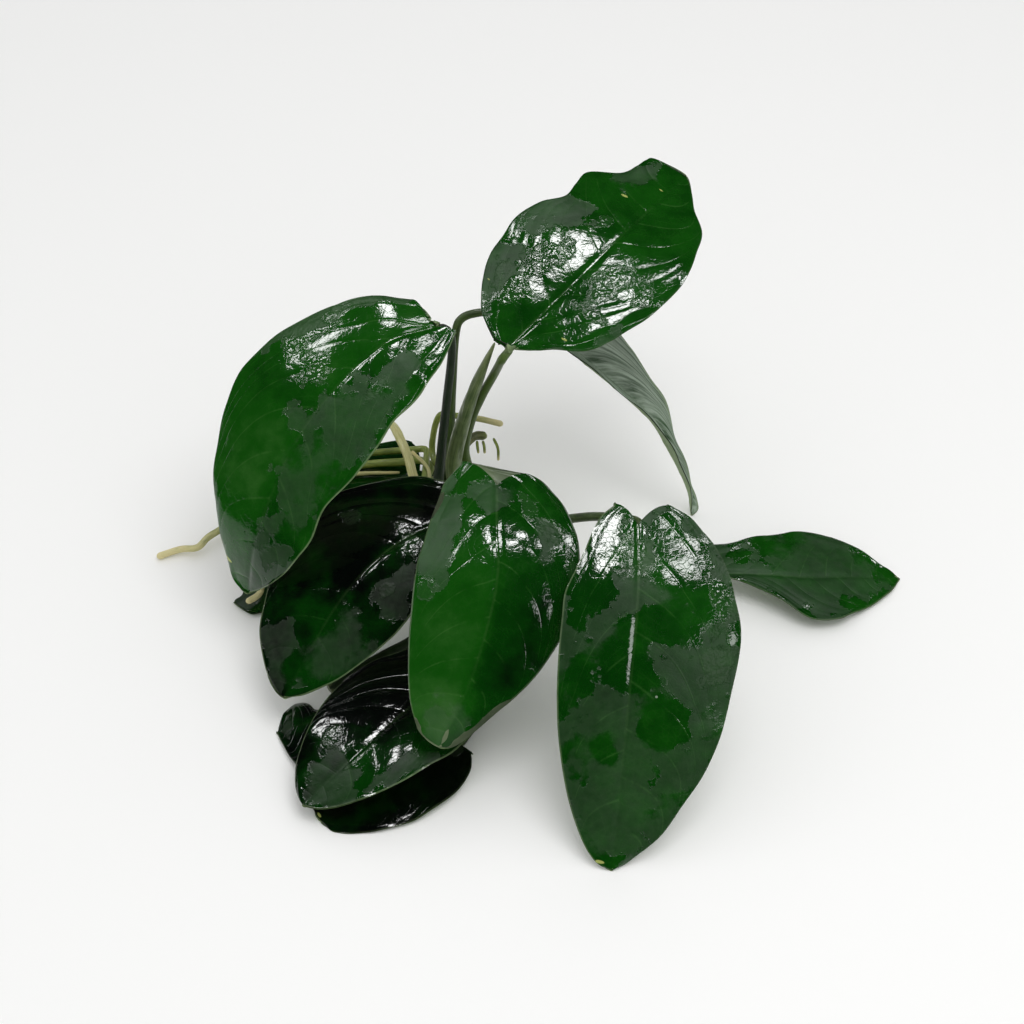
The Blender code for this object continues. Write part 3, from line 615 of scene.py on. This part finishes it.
# %% Wire class
class Wire:
    """One output of a node; arithmetic on it adds nodes."""

    def __init__(self, tree, out=None):
        self.tree = tree
        self.out = out

    def node(self, kind, settings=(), output=0, **inputs):
        """Adds any node: its type, its settings, which output is wanted, then its sockets."""
        made = self.tree.nodes.new("ShaderNode" + kind)
        for key, value in dict(settings).items():
            setattr(made, key, value)
        for key, value in inputs.items():
            key = key.replace("_", " ")
            spot = made.inputs[int(key[2:])] if key.startswith("in") and key[2:].isdigit() else made.inputs[key]
            if isinstance(value, Wire):
                self.tree.links.new(value.out, spot)
            else:
                spot.default_value = value
        return Wire(self.tree, made.outputs[output])

    def sum(self, how, other=0.0, third=0.0):
        if self.out.type in ("VECTOR", "RGBA"):
            if how == "MULTIPLY" and not isinstance(other, (Wire, tuple)):
                return self.node("VectorMath", {"operation": "SCALE"}, in0=self, Scale=other)
            if isinstance(other, (int, float)):
                other = (other, other, other)
            return self.node("VectorMath", {"operation": how}, in0=self, in1=other)
        return self.node("Math", {"operation": how}, in0=self, in1=other, in2=third)

    def __add__(self, other):
        return self.sum("ADD", other)

    def __sub__(self, other):
        return self.sum("SUBTRACT", other)

    def __rsub__(self, other):
        return (self * -1) + other

    def __mul__(self, other):
        return self.sum("MULTIPLY", other)

    def __truediv__(self, other):
        return self.sum("DIVIDE", other)

    def __pow__(self, other):
        return self.sum("POWER", other)

    def __abs__(self):
        return self.sum("ABSOLUTE")

    __radd__ = __add__
    __rmul__ = __mul__

    def part(self, i):
        """One number of a vector."""
        return self.node("SeparateXYZ", output=i, Vector=self)

    def step(self, low, high):
        """0 below low, 1 above high, smooth between them. The two may be the other way round."""
        settings = {"interpolation_type": "SMOOTHSTEP"}
        if low < high:
            return self.node("MapRange", settings, Value=self, From_Min=low, From_Max=high)
        return 1 - self.node("MapRange", settings, Value=self, From_Min=high, From_Max=low)

    def blend(self, a, b):
        """Colour a where this is 0 and colour b where it's 1."""
        a, b = [(*c, 1) if isinstance(c, tuple) else c for c in (a, b)]
        settings = {"data_type": "RGBA", "clamp_factor": True}
        return self.node("Mix", settings, output=2, in0=self, in6=a, in7=b)

    def noise(self, scale, detail=2.0, roughness=0.5):
        """Cloudy noise, here with this vector as its place."""
        return self.node("TexNoise", Vector=self, Scale=scale, Detail=detail, Roughness=roughness)

    def cracks(self, scale):
        """The distance to the border between random cells."""
        return self.node("TexVoronoi", {"feature": "DISTANCE_TO_EDGE"}, Vector=self, Scale=scale)


def finish(name, **fixed):
    """A new material, its shader and a first wire; fixed values are set on the shader's own sockets."""
    made = bpy.data.materials.new(name)
    made.use_nodes = True
    shader = made.node_tree.nodes["Principled BSDF"]
    for key, value in fixed.items():
        shader.inputs[key.replace("_", " ")].default_value = value
    return made, shader, Wire(made.node_tree)


def attribute(wire, name):
    return wire.node("Attribute", {"attribute_name": name}, output=1)


def into(wire, shader, socket):
    wire.tree.links.new(wire.out, shader.inputs[socket])


def bumped(height, shader, distance):
    """Height 0 to 1 stands for that distance in metres."""
    into(height.node("Bump", Height=height, Distance=distance), shader, "Normal")


print("shader maths ready")


# %% [markdown]
# The upper side of a leaf
# Three things make this surface. Its green runs from near black to fresh green, after the tone that
# each point of the mesh has, with the veins a little paler; the near-black end is painted shade. A film
# of water lies on most of it, smooth as glass, so its roughness is low. Where the film has dried off,
# the leaf is matt and its green is lightened to grey-green, a painted sheen, and where it has broken up
# into foam, fine bumps scatter the light. The borders are sharp and ragged. Along some margins runs a
# fine pale line, partly the margin's own paleness and partly a painted highlight, and a few scars are
# cream. On the leaf that hangs at the back, pale streaks along the veins are a painted sheen.

# %% Upper side
# The near-black green is painted shade: it stands for the shadow on the lower leaves and the dark surroundings they
# reflect.
SHADE_BLACK, DEEP = (0.0002, 0.0012, 0.0005), (0.0008, 0.030, 0.0007)
FRESH, LIGHT = (0.004, 0.060, 0.002), (0.022, 0.095, 0.013)


def blade_numbers(wire):
    """What the blade's mesh tells: side, share, tone, mm from midrib and margin, dryness that also carries a painted
    sheen, veins.
    """
    blade, reach = attribute(wire, "blade"), attribute(wire, "reach")
    side, share, tone = [blade.part(i) for i in range(3)]
    out = abs(side)
    sweep = out * SWEEP_NEAR + out**3 * SWEEP_FAR
    number = (share - sweep) / (1 - sweep) / VEIN_STEP
    number = number.sum("MAXIMUM", number * BASE_FAN) + side.sum("LESS_THAN", 0.0) * LEFT_SHIFT
    vein = abs(number.sum("FRACT") - 0.5).step(0.455, 0.5)
    fine_vein = abs((number * 4).sum("FRACT") - 0.5).step(0.40, 0.5)
    return side, share, tone, reach.part(0), reach.part(1), reach.part(2), number, vein, fine_vein


leaf_upper, film, wire = finish("leaf upper side", IOR=1.45)
nodes, links = leaf_upper.node_tree.nodes, leaf_upper.node_tree.links
matt = nodes.new("ShaderNodeBsdfPrincipled")
matt.inputs["Specular IOR Level"].default_value = 0.22
mixed = nodes.new("ShaderNodeMixShader")
links.new(film.outputs["BSDF"], mixed.inputs[1])
links.new(matt.outputs["BSDF"], mixed.inputs[2])
links.new(mixed.outputs["Shader"], nodes["Material Output"].inputs["Surface"])

side, share, tone_here, midrib, margin, dry_and_sheen, number, vein, fine_vein = blade_numbers(wire)
look, foam = attribute(wire, "look"), attribute(wire, "foam")
place = wire.node("TexCoord", output=3)
net = 1 - place.cracks(800).step(0.0, 0.10)
cloud, middling, fine, grain = place.noise(110, 3), place.noise(300, 3), place.noise(750, 3), place.noise(2000, 2)
ragged = place.noise(240, 5, 0.62) - 0.5
wander = place.noise(90, 4, 0.6) - 0.5
softness = cloud.step(0.45, 0.62) * 0.55 + 0.07
# Where the film has dried off, the leaf turns matt and its green is lightened: a painted sheen.
dried_and_sheen = ((dry_and_sheen * 0.7 + wander * 2.0 + ragged * 1.4) / softness).step(0.0, 1.0)
foamy = (foam.part(0) * 0.9 - 0.15 + wander * 1.6 + ragged * 2.0).step(0.0, 0.25)

mellow = tone_here + (cloud - 0.5) * 1.6 + (middling - 0.5) * 1.0 + ragged * 0.4
# Low tones turn to the near-black painted shade.
green = mellow.step(-0.1, 1.0).blend(SHADE_BLACK, DEEP)
green = mellow.step(0.9, 2.0).blend(green, FRESH)
green = mellow.step(1.9, 3.1).blend(green, LIGHT)
lines = (vein * 0.28 + fine_vein * 0.05 + net * 0.06) * mellow.step(0.2, 1.6) * middling.step(0.35, 0.6)
green = lines.blend(green, (0.040, 0.125, 0.024))
green = (midrib.step(0.4, 0.1) * (1 - share) * middling.step(0.3, 0.6) * 0.2).blend(green, (0.08, 0.15, 0.05))
green = (foamy * 0.10).blend(green, (0.08, 0.13, 0.07))
# The hanging leaf's pale streaks along the veins are a painted sheen.
streaks = wire.node("CombineXYZ", X=number * 2.6, Y=abs(side) * 0.9).noise(1.6, 5, 0.62)
silk = streaks.step(0.28, 0.66) * look.part(2)
green = silk.blend(green, (0.42, 0.50, 0.41))
# The fine pale margin is partly the leaf's own pale edge and partly a painted highlight.
pale_margin_and_highlight = margin.step(0.4, 0.15) * side.sum("ABSOLUTE").step(0.4, 0.8) * look.part(0)
green = (pale_margin_and_highlight * (fine * 0.6 + 0.2)).blend(green, (0.26, 0.34, 0.18))
dot = place.node("TexVoronoi", {"feature": "F1"}, Vector=place, Scale=120).step(0.045, 0.03) * cloud.step(0.5, 0.6)
green = (dot * 0.5).blend(green, (0.45, 0.50, 0.42))
green = (look.part(1) + ragged).step(0.15, 0.35).blend(green, (0.32, 0.36, 0.10))
into(green, film, "Base Color")
# The matt green is lightened to grey-green: a painted sheen.
into((fine * 0.22 + 0.02).blend(green, (0.055, 0.105, 0.045)), matt, "Base Color")
into(0.07 + fine * 0.06, film, "Roughness")
into(0.40 + fine * 0.16, matt, "Roughness")
links.new(dried_and_sheen.out, mixed.inputs[0])
ripples = middling * 0.10 + fine * 0.030 + grain * 0.010 + foamy * place.noise(950, 1.5, 0.6) * 0.26
ripples = ripples + (1 - dried_and_sheen) * 0.10 - vein * 0.02 - net * 0.006
for layer in (film, matt):
    bumped(ripples, layer, MM)
print("upper side:", len(leaf_upper.node_tree.nodes), "nodes")


# %% [markdown]
# The underside and the margin
# The underside has no gloss: it's pale grey-green, and its veins stand out and are paler still. The
# margin is dark and thin, and paler on those sides where the leaf shows its fine pale line, which is
# partly the margin's own paleness and partly a painted highlight. Both read the same numbers as the
# upper side.

# %% Underside and rim
leaf_under, shader, wire = finish("leaf underside", IOR=1.4)
side, share, tone_here, midrib, margin, dry_and_sheen, number, vein, fine_vein = blade_numbers(wire)
place = wire.node("TexCoord", output=3)
rib = midrib.step(1.2, 0.4)
fine = place.noise(600, 4)
pale = (fine * 0.5 + place.noise(90, 2) * 0.5).blend((0.065, 0.125, 0.040), (0.15, 0.225, 0.095))
pale = (vein * 0.4 + rib * 0.6).blend(pale, (0.24, 0.32, 0.14))
# The hanging leaf's underside is lightened as well: a painted sheen.
pale = (attribute(wire, "look").part(2) * 0.7).blend(pale, (0.30, 0.40, 0.22))
into(pale, shader, "Base Color")
into(0.42 + fine * 0.2, shader, "Roughness")
bumped(vein * 0.06 + fine * 0.06, shader, MM)

leaf_rim, shader, wire = finish("leaf margin", IOR=1.4)
place = wire.node("TexCoord", output=3)
edge = attribute(wire, "look").part(0)
rim_colour = place.noise(500, 3).blend((0.006, 0.020, 0.004), (0.016, 0.040, 0.010))
# On the sides with a pale margin the rim is paler: partly its own paleness, partly a painted highlight.
into((edge * (place.noise(160, 3) * 1.2 + 0.1)).blend(rim_colour, (0.30, 0.38, 0.20)), shader, "Base Color")
into(0.3 + place.noise(900, 2) * 0.2, shader, "Roughness")
print("three leaf finishes")


# %% [markdown]
# Stems and roots as tubes
# A stalk or root could be a bevelled curve, but then its section stays the same all along. A grid
# wrapped round the route gives a free hand: the radius may change along it and round it. The section
# is carried along without twisting, from one row to the next. The rows lie closer together at both
# ends, where the tube rounds off to a point. The seam and the two poles are closed by merging.

# %% Tube mesh
def frames(route, rows, crowd):
    """Points, tangents, normals and shares along a route, turning as little as it can."""
    found = []
    normal = None
    for i in range(rows + 1):
        t = i / rows
        share = t - crowd * math.sin(2 * math.pi * t) / (2 * math.pi)
        tangent = route.towards(share)
        if normal is None:
            normal = tangent.cross(Vector((0, 0, 1)) if abs(tangent.z) < 0.9 else Vector((0, 1, 0)))
        normal = (normal - tangent * normal.dot(tangent)).normalized()
        found.append((route.at(share), tangent, normal.copy(), share))
    return found


def tube_mesh(name, route, rows, columns, radius, tone=1.0, ends=(1.0, 1.0), crowd=0.9):
    """A closed tube. radius(share, angle) is in mm; ends are the lengths in mm that are rounded off."""
    steps = frames(route, rows, crowd)
    length = route.length / MM
    bm = bmesh.new()
    bmesh.ops.create_grid(bm, x_segments=columns, y_segments=rows, size=1)
    skin = bm.verts.layers.float_vector.new("skin")
    spot = bm.verts.layers.float_vector.new("stem")
    for v in bm.verts:
        angle = (v.co.x + 1) * math.pi
        point, tangent, normal, share = steps[round((v.co.y + 1) / 2 * rows)]
        side = tangent.cross(normal)
        r = radius(share, angle)
        for gap, reach in ((share * length, ends[0]), ((1 - share) * length, ends[1])):
            if gap < reach:
                r *= math.sqrt(max(0.0, 1 - (1 - gap / reach) ** 2))
        v.co = point + (normal * math.cos(angle) + side * math.sin(angle)) * r * MM
        v.co.z = max(v.co.z, 0.0)
        v[skin] = (math.cos(angle) * 3, math.sin(angle) * 3, share * length)
        v[spot] = (share, tone, math.cos(angle))
    bmesh.ops.remove_doubles(bm, verts=bm.verts, dist=0.002 * MM)
    bmesh.ops.recalc_face_normals(bm, faces=bm.faces)
    mesh = bpy.data.meshes.new(name)
    bm.to_mesh(mesh)
    bm.free()
    mesh.shade_smooth()
    return mesh


def ripple(share, angle, seed, many=8.0):
    """A smooth random number from -1 to 1, the same all round a full turn."""
    return noise.noise(Vector((math.cos(angle), math.sin(angle), share * many + seed * 7.3)))


print("tube maker ready")


# %% [markdown]
# Finishes of the stems
# Stalks are olive green with fine fibres along them. The young leaf is striped lengthways by its own
# rolled-up veins. Roots are green where light reached them and cream at their growing tips. The rhizome
# is a brownish green with cream breaks in its skin. All of them use the tube's own coordinates, so that
# fibres follow every bend.

# %% Stem finishes
def stem_finish(name, dark, light, tip, strength, gloss, bump, stretch=0.12):
    """Fibres along the stem between two colours, and a third colour towards its end."""
    made, shader, wire = finish(name, Coat_Roughness=0.08, Coat_IOR=1.33, IOR=1.42)
    skin = attribute(wire, "skin")
    stem = attribute(wire, "stem")
    drawn = skin * (1, 1, stretch)
    fibre = drawn.noise(2.2, 4, 0.6)
    blotch = skin.noise(0.35, 3)
    grain = skin.noise(5.0, 3, 0.6)
    tone = stem.part(1)
    mixed = fibre * 0.75 + blotch * 0.5 + (tone - 1) * 0.6 - 0.12
    colour = mixed.step(0.25, 0.85).blend(dark, light)
    ended = (stem.part(0) + (blotch - 0.5) * 0.3).step(1 - strength, 1.0) if strength else None
    if strength:
        colour = ended.blend(colour, tip)
    colour = (grain.step(0.62, 0.75) * 0.25).blend(colour, tuple(0.45 * c for c in dark))
    into(colour, shader, "Base Color")
    into(0.32 + grain * 0.3, shader, "Roughness")
    into(blotch.step(0.35, 0.6) * gloss, shader, "Coat Weight")
    bumped(fibre * 0.6 + grain * 0.4, shader, bump * MM)
    return made


stalk_finish = stem_finish("stalk", (0.003, 0.017, 0.0015), (0.060, 0.112, 0.014), (0.05, 0.1, 0.02), 0, 0.18, 0.12)
young_finish = stem_finish("young leaf", (0.030, 0.065, 0.014), (0.16, 0.22, 0.075), (0.2, 0.25, 0.1), 0.2,
                           0.7, 0.10, 0.04)
root_finish = stem_finish("green root", (0.10, 0.16, 0.018), (0.38, 0.45, 0.085), (0.74, 0.66, 0.34), 0.35, 0.4, 0.2)
cream_finish = stem_finish("cream root", (0.42, 0.40, 0.12), (0.80, 0.76, 0.38), (0.70, 0.60, 0.26), 0.3, 0.4, 0.2)
rhizome_finish = stem_finish("rhizome", (0.035, 0.050, 0.010), (0.20, 0.22, 0.06), (0.25, 0.3, 0.08), 0.1, 0.4, 0.4)
stub_finish = stem_finish("cut stalk", (0.008, 0.026, 0.004), (0.05, 0.09, 0.02), (0.10, 0.13, 0.05), 0.05, 0.8, 0.15)
print("stem finishes:", len(bpy.data.materials))


# %% [markdown]
# Handing a piece over
# Every new piece takes the place of one solid of the frame, which it hides, and rides with the body
# root. One helper does this for all of them.

# %% Keep a piece
def keep(mesh, node, slot, *materials):
    piece = bpy.data.objects.new(node + "_fine", mesh)
    bpy.context.scene.collection.objects.link(piece)
    for material in materials:
        mesh.materials.append(material)
    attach(piece, "root")
    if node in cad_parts:
        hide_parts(node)
    return piece


print("nodes to replace:", len(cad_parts))


# %% [markdown]
# The eleven blades
# Three leaves stand highest and carry the outline: one to the back, one to the upper left and the long
# one at the front right. The others lie below them, down to three that rest on the table. All of
# them come out of the one maker; the seed only moves the noise, so that no two have the same dents.

# %% Blades
for seed, (name, leaf) in enumerate(LEAVES.items()):
    mesh = blade_mesh("blade_" + name, leaf, seed * 11.0)
    keep(mesh, "blade_" + name, "leaf", leaf_upper, leaf_under, leaf_rim)
print("blades:", len(LEAVES))


# %% [markdown]
# Where stems leave the rhizome
# Stalks and roots start square to the rhizome's skin. The rhizome itself is a short line of four
# places, from its growing tip to its old end. The starting point is worked out from it, so that every
# stem is in its solid's place.

# %% Starts on the rhizome
RHIZOME_RADIUS = 4.0
GAP = 0.3
RHIZOME_AXIS = [(-16.5, 53, 8.5), (-16, 44, 7.5), (-14, 32, 5.8), (-12, 19, 4.1)]
axis = Route([metres(p) for p in RHIZOME_AXIS])


def off_rhizome(share, direction, reach=0.0):
    """A point off the rhizome's skin."""
    tangent = axis.towards(share)
    direction = Vector(direction)
    if 0.05 < share < 0.95:
        direction = direction - tangent * direction.dot(tangent)
    return axis.at(share) + direction.normalized() * (RHIZOME_RADIUS + GAP + reach) * MM


def stem_route(start, places):
    """A route from the rhizome's skin, or from its own first place, through the places."""
    first = [off_rhizome(*start, -0.6), off_rhizome(*start, 2.0)] if start else []
    return Route(first + [metres(p) for p in places])


print("rhizome:", round(axis.length / MM), "mm long")


# %% [markdown]
# Stalks
# A leaf stalk has three parts: a sheath that wraps the rhizome at its base and is open on one side,
# a nearly round middle, and a short thicker joint right below the blade, where the leaf can turn to
# the light. The stalk ends under the midrib.

# %% Stalks
STALK_RADIUS = 1.15
STALK_TONES = {"top": 1.5, "upper_left": 0.6, "centre": 0.7, "front_right": 1.2, "back_right": 1.2}


def stalk_radius(seed):
    def radius(share, angle):
        sheath = max(0.0, 1 - share * 3.2)
        joint = math.exp(-(((share - 0.93) / 0.035) ** 2))
        groove = 1 - (0.25 * sheath + 0.08) * max(0.0, math.cos(angle - seed)) ** 6
        plain = STALK_RADIUS * (1 + 0.32 * sheath**1.3) - 0.28 * STALK_RADIUS * share
        return plain * groove * (1 + 0.14 * joint + 0.05 * ripple(share, angle, seed))
    return radius


for seed, (name, leaf) in enumerate(LEAVES.items()):
    share, out, *places = leaf["stalk"]
    spine = Route([metres(p) for p in leaf["spine"]])
    tangent = spine.towards(0.0)
    right = tangent.cross(Vector(leaf["face"][0])).normalized()
    up = right.cross(tangent)
    clear = (0.55 * math.hypot(1, leaf["fold"]) + GAP + 0.75 * STALK_RADIUS) * MM
    end = spine.at(0.0) + tangent * MM - up * clear
    route = stem_route((share, out), places)
    route = Route(route.points + [end - tangent * 3 * MM - up * 0.8 * MM, end])
    mesh = tube_mesh("stalk_" + name, route, 120, 28, stalk_radius(seed), STALK_TONES.get(name, 1.0))
    keep(mesh, "stalk_" + name, "stalk", stalk_finish)
print("stalks:", len(LEAVES))


# %% [markdown]
# The young leaf
# Before it opens, a leaf is a tight scroll. Its outer edge shows as a step that winds slowly up the
# roll. Modelling it as a rolled sheet would need a spiral with its own thickness; seen from outside
# only that step matters, so the tube's radius falls slowly round the turn and jumps back at the edge.

# %% Rolled leaf
ROLLED_ROUTE = [(-15.8, 47.7, 19.3), (-14.1, 46.8, 28.8), (-11.8, 45.6, 38.2), (-8.9, 43.9, 48.1),
                (-6.5, 42.7, 55.5)]
ROLLED_RADII = (1.9, 1.85, 1.8, 1.75, 1.7, 1.6, 1.5, 1.3, 1.0, 0.65, 0.25)


def rolled_radius(share, angle):
    """The scroll's radius, with the step of its outer edge."""
    at = share * (len(ROLLED_RADII) - 1)
    i = min(int(at), len(ROLLED_RADII) - 2)
    plain = ROLLED_RADII[i] + (ROLLED_RADII[i + 1] - ROLLED_RADII[i]) * (at - i)
    turn = (angle / (2 * math.pi) + 0.35 + share * 0.9) % 1.0
    fall = turn / 0.94 if turn < 0.94 else (1 - turn) / 0.06
    return plain * (1.03 - 0.16 * fall) * (1 + 0.03 * ripple(share, angle, 5))


rolled = tube_mesh("rolled_leaf", stem_route((0.2, (0.1, 0, 1)), ROLLED_ROUTE), 160, 64, rolled_radius, 1.1)
keep(rolled, "rolled_leaf", "young_leaf", young_finish)
print("rolled leaf:", len(rolled.polygons), "faces")


# %% [markdown]
# The cut stub
# One old stalk was cut off. Its end is flat and a little paler.

# %% Stub
STUB_ROUTE = [(-20, 10, 5.5), (-25, 3, 7.5), (-29.6, -0.5, 7.6), (-36, -5.2, 7), (-40.2, -8.3, 6)]


def stub_radius(share, angle):
    return STALK_RADIUS * (1.02 + 0.05 * ripple(share, angle, 9) - 0.06 * max(0.0, math.cos(angle)) ** 4)


stub = tube_mesh("stalk_stub", stem_route((1.0, (-0.8, -0.6, 0.3)), STUB_ROUTE), 110, 32, stub_radius, 0.7,
                 (1.0, 0.25))
keep(stub, "stalk_stub", "stalk", stub_finish)
print("stub:", len(stub.polygons), "faces")


# %% [markdown]
# The rhizome
# A creeping stem grows at one end and dies off at the other. Every leaf that has gone left a ring, and
# roots broke out between the rings. So its radius swells between rings and is roughened by noise.

# %% Rhizome
def rhizome_radius(share, angle):
    blunt = min(1.0, 0.62 + 3 * share, 0.66 + 3 * (1 - share))
    ring = abs(math.sin(math.pi * 7 * (share + 0.02 * math.cos(angle)))) ** 0.6
    rough = 0.06 * ripple(share, angle, 3, 12) + 0.03 * ripple(share, 3 * angle, 4, 30)
    return RHIZOME_RADIUS * blunt * (0.90 + 0.09 * ring + rough)


stem = tube_mesh("rhizome", axis, 200, 72, rhizome_radius, 1.0, (2.2, 2.2), 0.6)
keep(stem, "rhizome", "rhizome", rhizome_finish)
print("rhizome:", len(stem.polygons), "faces")


# %% [markdown]
# Roots
# The roots are cords of nearly even thickness with slight waves and knots. Their routes are the
# solids' own. The strap root is flattened; the others are round.

# %% Roots
ROOTS = {
    "root_long": ((0.04, (-1, 0.5, 0)), [(-21.5, 58, 8.9), (-24.3, 60.4, 8.6), (-28.4, 59.9, 8.4),
                  (-36, 59.6, 8), (-45, 58.5, 7), (-54, 54.5, 5.2), (-64, 46.8, 3), (-70, 41, 3),
                  (-72.5, 38, 2.4), (-76.5, 38.5, 1.3), (-81.5, 36.5, 0.9)], 0.95, 0.75, "root"),
    "root_second": ((0.1, (-1, 0.3, 0.4)), [(-22.3, 57, 11), (-22.6, 61.7, 10.5), (-26.2, 62.7, 9.7),
                    (-36.3, 62.9, 8.4), (-46, 61, 8.6), (-51.5, 55, 8.2), (-57, 45, 5), (-58.8, 33, 3.4),
                    (-57.2, 24, 2.8), (-60, 20.6, 2.4)], 0.8, 0.7, "root"),
    "root_strap": ((0.38, (-1, 0, 0.3)), [(-22.5, 44, 11), (-24.7, 48.6, 13.5), (-26.1, 53.4, 15.5),
                   (-27.8, 57.5, 16.8), (-30, 62.7, 17), (-34, 67, 15), (-39, 69.5, 10.5)],
                   0.95, 1.05, "pale_root"),
    "root_arch": ((0.02, (-0.7, 0.7, 0.6)), [(-20.9, 58.5, 12.6), (-20.8, 60, 15.5), (-19.3, 61.5, 20.6),
                  (-16.5, 62.5, 20), (-10.2, 62.4, 19), (-5, 62, 17.8)], 0.7, 0.7, "root"),
    "root_thin": ((0.2, (-1, 0, 0.5)), [(-21.6, 52.5, 12.3), (-25.6, 59.4, 12)], 0.45, 0.4, "pale_root"),
    "root_cream": (None, [(-47, 54.2, 6.2), (-42, 56.6, 7), (-36.5, 57.3, 7.3), (-28.4, 57.2, 7.6)],
                   0.7, 0.3, "pale_root"),
    "root_nub": ((0.0, (0.3, 0.6, 0.7)), [(-13.6, 58.5, 14.6), (-11.3, 60.5, 15.6), (-8.6, 61, 15.2)],
                 1.0, 1.0, "rhizome"),
    "rootlet_left": (None, [(-10.9, 60.7, 14.1), (-10.8, 60.5, 12.5), (-10.6, 60.2, 10.8)], 0.35, 0.3, "root"),
    "rootlet_middle": (None, [(-9.6, 61, 13.8), (-9.3, 61.2, 12), (-9.2, 61.1, 10)], 0.35, 0.3, "root"),
    "rootlet_right": (None, [(-7.2, 61, 14.6), (-6.2, 60.5, 12), (-6.1, 59.5, 9.2)], 0.35, 0.3, "root"),
    "root_under_back": ((0.2, (0.5, 0, -1)), [(-12.5, 50, 1.6), (-8, 53, 0.8)], 0.8, 0.6, "pale_root"),
    "root_under_middle": ((0.5, (-0.5, 0, -1)), [(-18.5, 36, 0.9), (-24, 37, 0.8)], 0.8, 0.6, "pale_root"),
    "root_under_side": ((0.55, (0.7, 0, -0.9)), [(-9, 33, 0.9), (-2, 36, 0.8)], 0.8, 0.6, "pale_root"),
}
ROOT_FINISHES = {"root": root_finish, "pale_root": cream_finish, "rhizome": rhizome_finish}
FLAT = {"root_strap": 0.28}


def root_radius(first, last, seed, flat):
    def radius(share, angle):
        plain = first + (last - first) * share
        flattened = 1 + flat * math.cos(2 * angle)
        knots = 0.09 * ripple(share, angle, seed, 14) + 0.05 * ripple(share, 2 * angle, seed, 40)
        return plain * flattened * (1 + knots)
    return radius


for seed, (name, (start, places, first, last, slot)) in enumerate(ROOTS.items()):
    route = stem_route(start, places)
    rows = max(30, round(route.length / MM * 3))
    mesh = tube_mesh(name, route, rows, 20, root_radius(first, last, seed, FLAT.get(name, 0.0)),
                     1.0, (0.8, 1.2 * last))
    keep(mesh, name, slot, ROOT_FINISHES[slot])
print("roots:", len(ROOTS))
